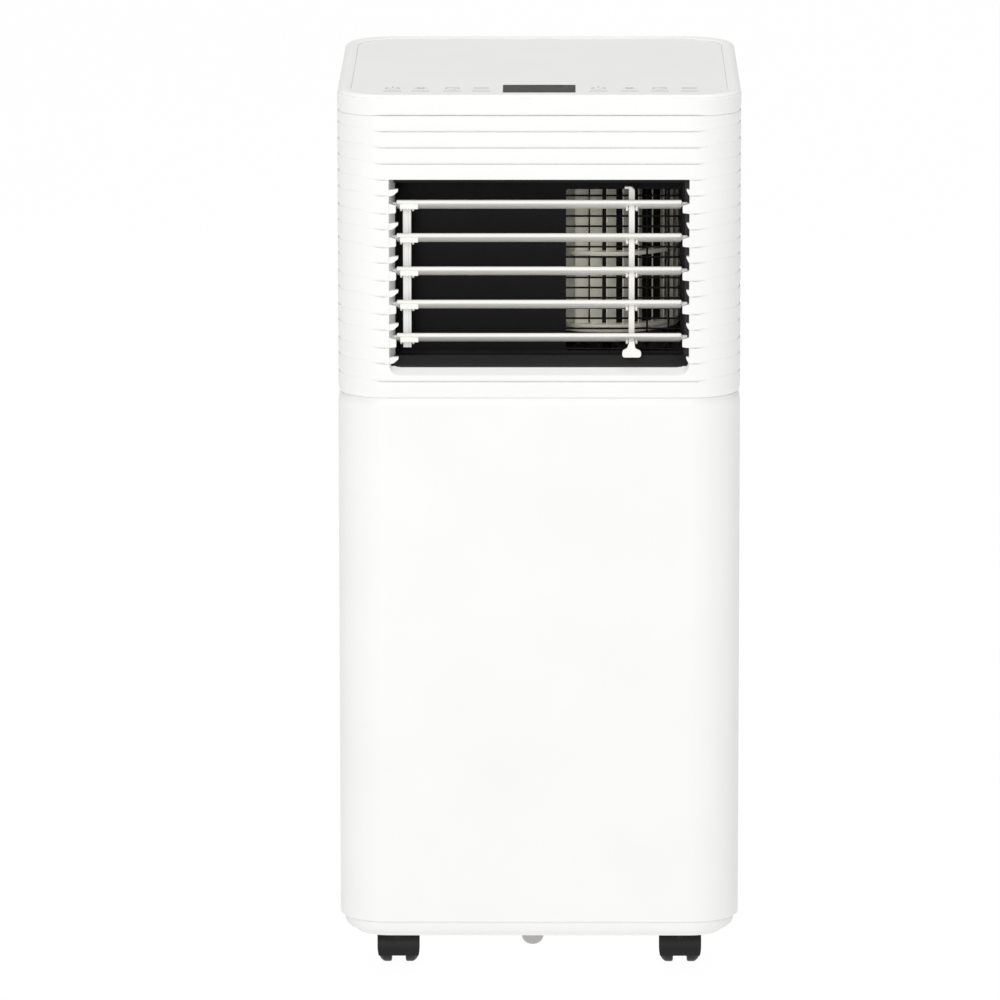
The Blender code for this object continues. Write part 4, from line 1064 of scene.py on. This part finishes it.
def make_fan_shade_core():
    """A dark drum deep inside the blower's wheel, with room for the motor in it. It is painted shade: its black
    stands in for the shade inside the hollow wheel, so the gaps between the blades read dark.
    """
    node = "evaporator_wheel"
    low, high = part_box(node)
    centre = Vector((middle_of(node).x, middle_of(node).y, 0))
    radius = (high.x - low.x) / 2 - WHEEL_WALL - 0.0020
    bottom, top = low.z + MOTOR_ROOM + 0.0032, high.z - 0.0030
    core = [
        (0, bottom + 0.0170), (0.0082, bottom + 0.0170), (0.0140, bottom),
        (radius - 0.0020, bottom), (radius, bottom + 0.0020), (radius - 0.0008, top - 0.0030),
        (radius - 0.0040, top), (0, top),
    ]
    bm = turned(core, centre, "Z", 48)
    piece("blower_shade_core", bm, "black_plastic", "evaporator_fan", sharp=50)


# Casters


def caster_stem(number):
    """(x, y) of a caster's stem, from its swivel joint."""
    for joint in frame["joints"]:
        if joint["name"] == f"caster_{number}_swivel":
            place = joint["pos_m"]
            return place[0], place[1]
    raise KeyError(number)


def make_caster(number):
    x, y = caster_stem(number)
    body = f"caster_{number}"
    axle_y, axle_z = y + CASTER_TRAIL, WHEEL_RADIUS
    half = HOOD_HALF_WIDTH
    shell = arc((axle_y, axle_z), HOOD_RADIUS, 28, 203, 28)
    shell += arc((axle_y, axle_z), HOOD_INNER, 203, 28, 28)
    bm = slab(shell, "X", x - half, x + half, edge=0.0005, steps=2)
    web = arc((axle_y, axle_z), HOOD_INNER + 0.0009, 34, 199, 24) + [(axle_y, axle_z - 0.0050)]
    bm = joined(bm, slab(web, "X", x - 0.0042, x + 0.0042))
    profile = [
        (0, 0.0200), (0.0060, 0.0200), (0.0060, BASE_BOTTOM - 0.0005),
        (0.0040, BASE_BOTTOM - 0.0003), (0.0040, 0.0492), (0.0034, 0.0500), (0, 0.0500),
    ]
    bm = joined(bm, turned(profile, (x, y, 0), "Z", 32))
    bm = cut(bm, turned(rod(0.0023, -0.02, 0.02), (x, axle_y, axle_z), "X", 20))
    for vertex in bm.verts:
        drop = max(0.0, axle_z + 0.0020 - vertex.co.z) / HOOD_RADIUS
        vertex.co.x = x + (vertex.co.x - x) * (1 - HOOD_TAPER * drop * drop)
    hood = f"caster_hood_{number}"
    piece(f"{body}_housing", bm, "charcoal_plastic", body, hood, finish=HOOD_PLASTIC)
    reach = AXLE_REACH
    profile = [
        (0, -reach), (0.0016, -reach), (0.0020, -reach + 0.0004), (0.0020, reach - 0.0004),
        (0.0016, reach), (0, reach),
    ]
    axle = turned(profile, (x, axle_y, axle_z), "X", 24)
    piece(f"{body}_pin", axle, "bright_steel", body, f"caster_axle_{number}")
    for side, letter in ((-1, "l"), (1, "r")):
        make_wheel(number, letter, side, (x, axle_y, axle_z))


def make_wheel(number, letter, side, centre):
    """A wheel with a domed outer side, a recessed hub cap and a rounded tread."""
    tread = WHEEL_RADIUS
    profile = [
        (0.0023, 0.0052), (tread - 0.0014, 0.0052), (tread - 0.0004, 0.0056), (tread, 0.0064),
        (tread, 0.0102), (tread - 0.0002, 0.0110), (tread - 0.0008, 0.0121),
        (tread - 0.0020, 0.0134), (tread - 0.0038, 0.0145), (tread - 0.0062, 0.0152),
        (0.0052, 0.0155), (0.0047, 0.0155), (0.0043, 0.0150), (0.0023, 0.0149),
    ]
    bm = turned([(radius, side * x) for radius, x in profile], centre, "X", 48)
    node = f"caster_wheel_{number}{letter}"
    piece(f"{node}_tyre", bm, "tyre_rubber", f"wheel_{number}{letter}", node)


def make_bolt():
    middle, end = middle_of("base_bolt"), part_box("base_bolt")[1].z
    top, rim = BASE_BOTTOM - 0.0004, BASE_BOTTOM - 0.0046
    profile = [
        (0, end), (0.0025, end), (0.0025, top), (0.0080, top), (0.0084, top - 0.0004),
        (0.0084, rim - 0.0004), (0.0082, rim - 0.0024), (0.0070, rim - 0.0050),
        (0.0050, rim - 0.0068), (0.0026, rim - 0.0077), (0, rim - 0.0080),
    ]
    bm = turned(profile, (middle.x + BOLT_SHIFT, middle.y, 0), "Z", 32)
    piece("base_bolt_dome", bm, "bright_steel", "cabinet", "base_bolt", finish=BOLT_STEEL)


# Rear


def make_intake(which):
    """A louvred grille with its filter behind it."""
    node = f"{which}_grille"
    low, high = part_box(node)
    outline = rounded(rectangle(low.x, low.z, high.x, high.z), 0.0012)
    bm = slab(outline, "Y", low.y, high.y, edge=0.0005)
    slots = bmesh.new()
    pitch = (high.z - low.z - 0.014) / GRILLE_SLOTS
    for slot in range(GRILLE_SLOTS):
        z = low.z + 0.007 + slot * pitch
        for left, right in ((low.x + 0.008, -0.003), (0.003, high.x - 0.008)):
            shape = rounded(rectangle(left, z + pitch * 0.18, right, z + pitch * 0.74), 0.0016, 4)
            add_slab(slots, shape, "Y", low.y - 0.01, high.y + 0.01)
    piece(f"{which}_louvres", cut(bm, slots), "white_plastic", f"{which}_intake", node)
    node = f"{which}_filter"
    low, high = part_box(node)
    shape = rounded(rectangle(low.x, low.z, high.x, high.z), 0.0020)
    bm = slab(shape, "Y", low.y, high.y, edge=0.0003)
    piece(f"{which}_screen", bm, "filter_mesh", f"{which}_intake", node)


def make_collar():
    low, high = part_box("exhaust_collar")
    centre = (0, 0, (low.z + high.z) / 2)
    rear = high.y
    flange = (high.x - low.x) / 2
    profile = [
        (0.0620, rear - 0.0004), (0.0624, rear), (0.0694, rear), (0.0700, rear - 0.0006),
        (0.0700, rear - 0.0024), (flange, rear - 0.0024), (flange, rear - 0.0054),
        (0.0640, rear - 0.0060), (0.0620, low.y),
    ]
    bm = turned(profile, centre, "Y", 96)
    for turn in range(4):
        start, end = 38 + 90 * turn, 52 + 90 * turn
        inner = arc((0, centre[2]), 0.0596, start, end, 6)
        outer = arc((0, centre[2]), 0.0626, end, start, 6)
        bm = joined(bm, slab(inner + outer, "Y", rear - 0.0046, rear - 0.0020))
    piece("exhaust_ring", bm, "white_plastic", "cabinet", "exhaust_collar")


def make_plug(node, name, slot, slotted):
    low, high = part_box(node)
    centre = ((low.x + high.x) / 2, 0, (low.z + high.z) / 2)
    radius = (high.x - low.x) / 2
    profile = [
        (0, high.y), (radius - 0.0016, high.y), (radius - 0.0004, high.y - 0.0005),
        (radius, high.y - 0.0016), (radius, high.y - 0.0070), (radius * 0.6, high.y - 0.0070),
        (radius * 0.6, low.y), (0, low.y),
    ]
    bm = turned(profile, centre, "Y", 48)
    if slotted:
        x, z = centre[0], centre[2]
        shape = rounded(rectangle(x - 0.0050, z - 0.0008, x + 0.0050, z + 0.0008), 0.0007)
        bm = cut(bm, slab(shape, "Y", high.y - 0.0012, high.y + 0.01))
    piece(name, bm, slot, "cabinet", node)


# Light, floor and camera


def make_stage():
    bm = bmesh.new()
    bmesh.ops.create_grid(bm, x_segments=1, y_segments=1, size=40.0)
    mesh = bpy.data.meshes.new("floor")
    bm.to_mesh(mesh)
    bm.free()
    floor = added("floor", mesh)
    material, tree, shader, place = node_tree("floor_paper")
    cloud = noise(tree, place, 0.6)
    two_tone(tree, shader, cloud, (0.030, 0.030, 0.030), (0.034, 0.034, 0.034))
    fill(shader, {"Roughness": 0.9, "Specular IOR Level": 0.1})
    fill(shader, {"Emission Color": (1.0, 1.0, 1.0, 1.0), "Emission Strength": 0.965})
    mesh.materials.append(material)


def add_light(name, place, target, size, power):
    light = bpy.data.lights.new(name, "AREA")
    light.shape = "RECTANGLE"
    light.size, light.size_y = size
    light.energy = power
    obj = added(name, light)
    obj.location = place
    aim = Vector(target) - Vector(place)
    obj.rotation_euler = aim.to_track_quat("-Z", "Y").to_euler()


def make_light():
    world = bpy.data.worlds.new("studio")
    world.use_nodes = True
    background = world.node_tree.nodes["Background"]
    fill(background, {"Color": (1.0, 1.0, 1.0, 1.0), "Strength": 0.50})
    bpy.context.scene.world = world
    middle = (0, 0, 0.38)
    add_light("front_box", (-0.5, -4.2, 2.4), middle, (2.4, 2.0), 56.0)
    add_light("low_box", (-0.9, -4.4, 0.9), middle, (1.2, 0.9), 25.0)
    add_light("top_box", (0, 0.4, 3.6), middle, (2.0, 2.0), 44.0)


def make_camera():
    camera = bpy.data.cameras.new("camera")
    camera.lens = LENS
    camera.sensor_width = 36.0
    camera.clip_end = 200.0
    obj = added("camera", camera)
    obj.location = CAMERA_PLACE
    turn = Matrix.Rotation(CAMERA_TURN, 3, "Z")
    tip = Matrix.Rotation(math.pi / 2 - CAMERA_DOWN, 3, "X")
    roll = Matrix.Rotation(CAMERA_ROLL, 3, "Z")
    obj.rotation_euler = (turn @ tip @ roll).to_euler()
    bpy.context.scene.camera = obj
    bpy.context.scene.view_settings.view_transform = "Standard"


dress_cad_nodes()
make_top()
make_symbols()
make_head_front()
make_head_rear()
make_body()
make_grips()
make_base()
for vane in range(1, VANE_COUNT + 1):
    make_vane(vane)
make_link()
make_lever()
make_shroud()
make_sill()
make_guard()
make_fan("blower", "evaporator_wheel", "evaporator_fan", BLADES, (0, 0.5, 1))
make_fan_shade_core()
make_fan("exhaust_blower", "condenser_wheel", "condenser_fan", EXHAUST_BLADES, (0, 1))
for caster in range(1, 5):
    make_caster(caster)
make_bolt()
make_intake("upper")
make_intake("lower")
make_collar()
make_plug("drain_plug_upper", "drain_cap_upper", "pale_grey_plastic", True)
make_plug("drain_plug_lower", "drain_cap_lower", "pale_grey_plastic", True)
make_plug("cord_gland", "gland_ring", "charcoal_plastic", False)
make_stage()
make_light()
make_camera()
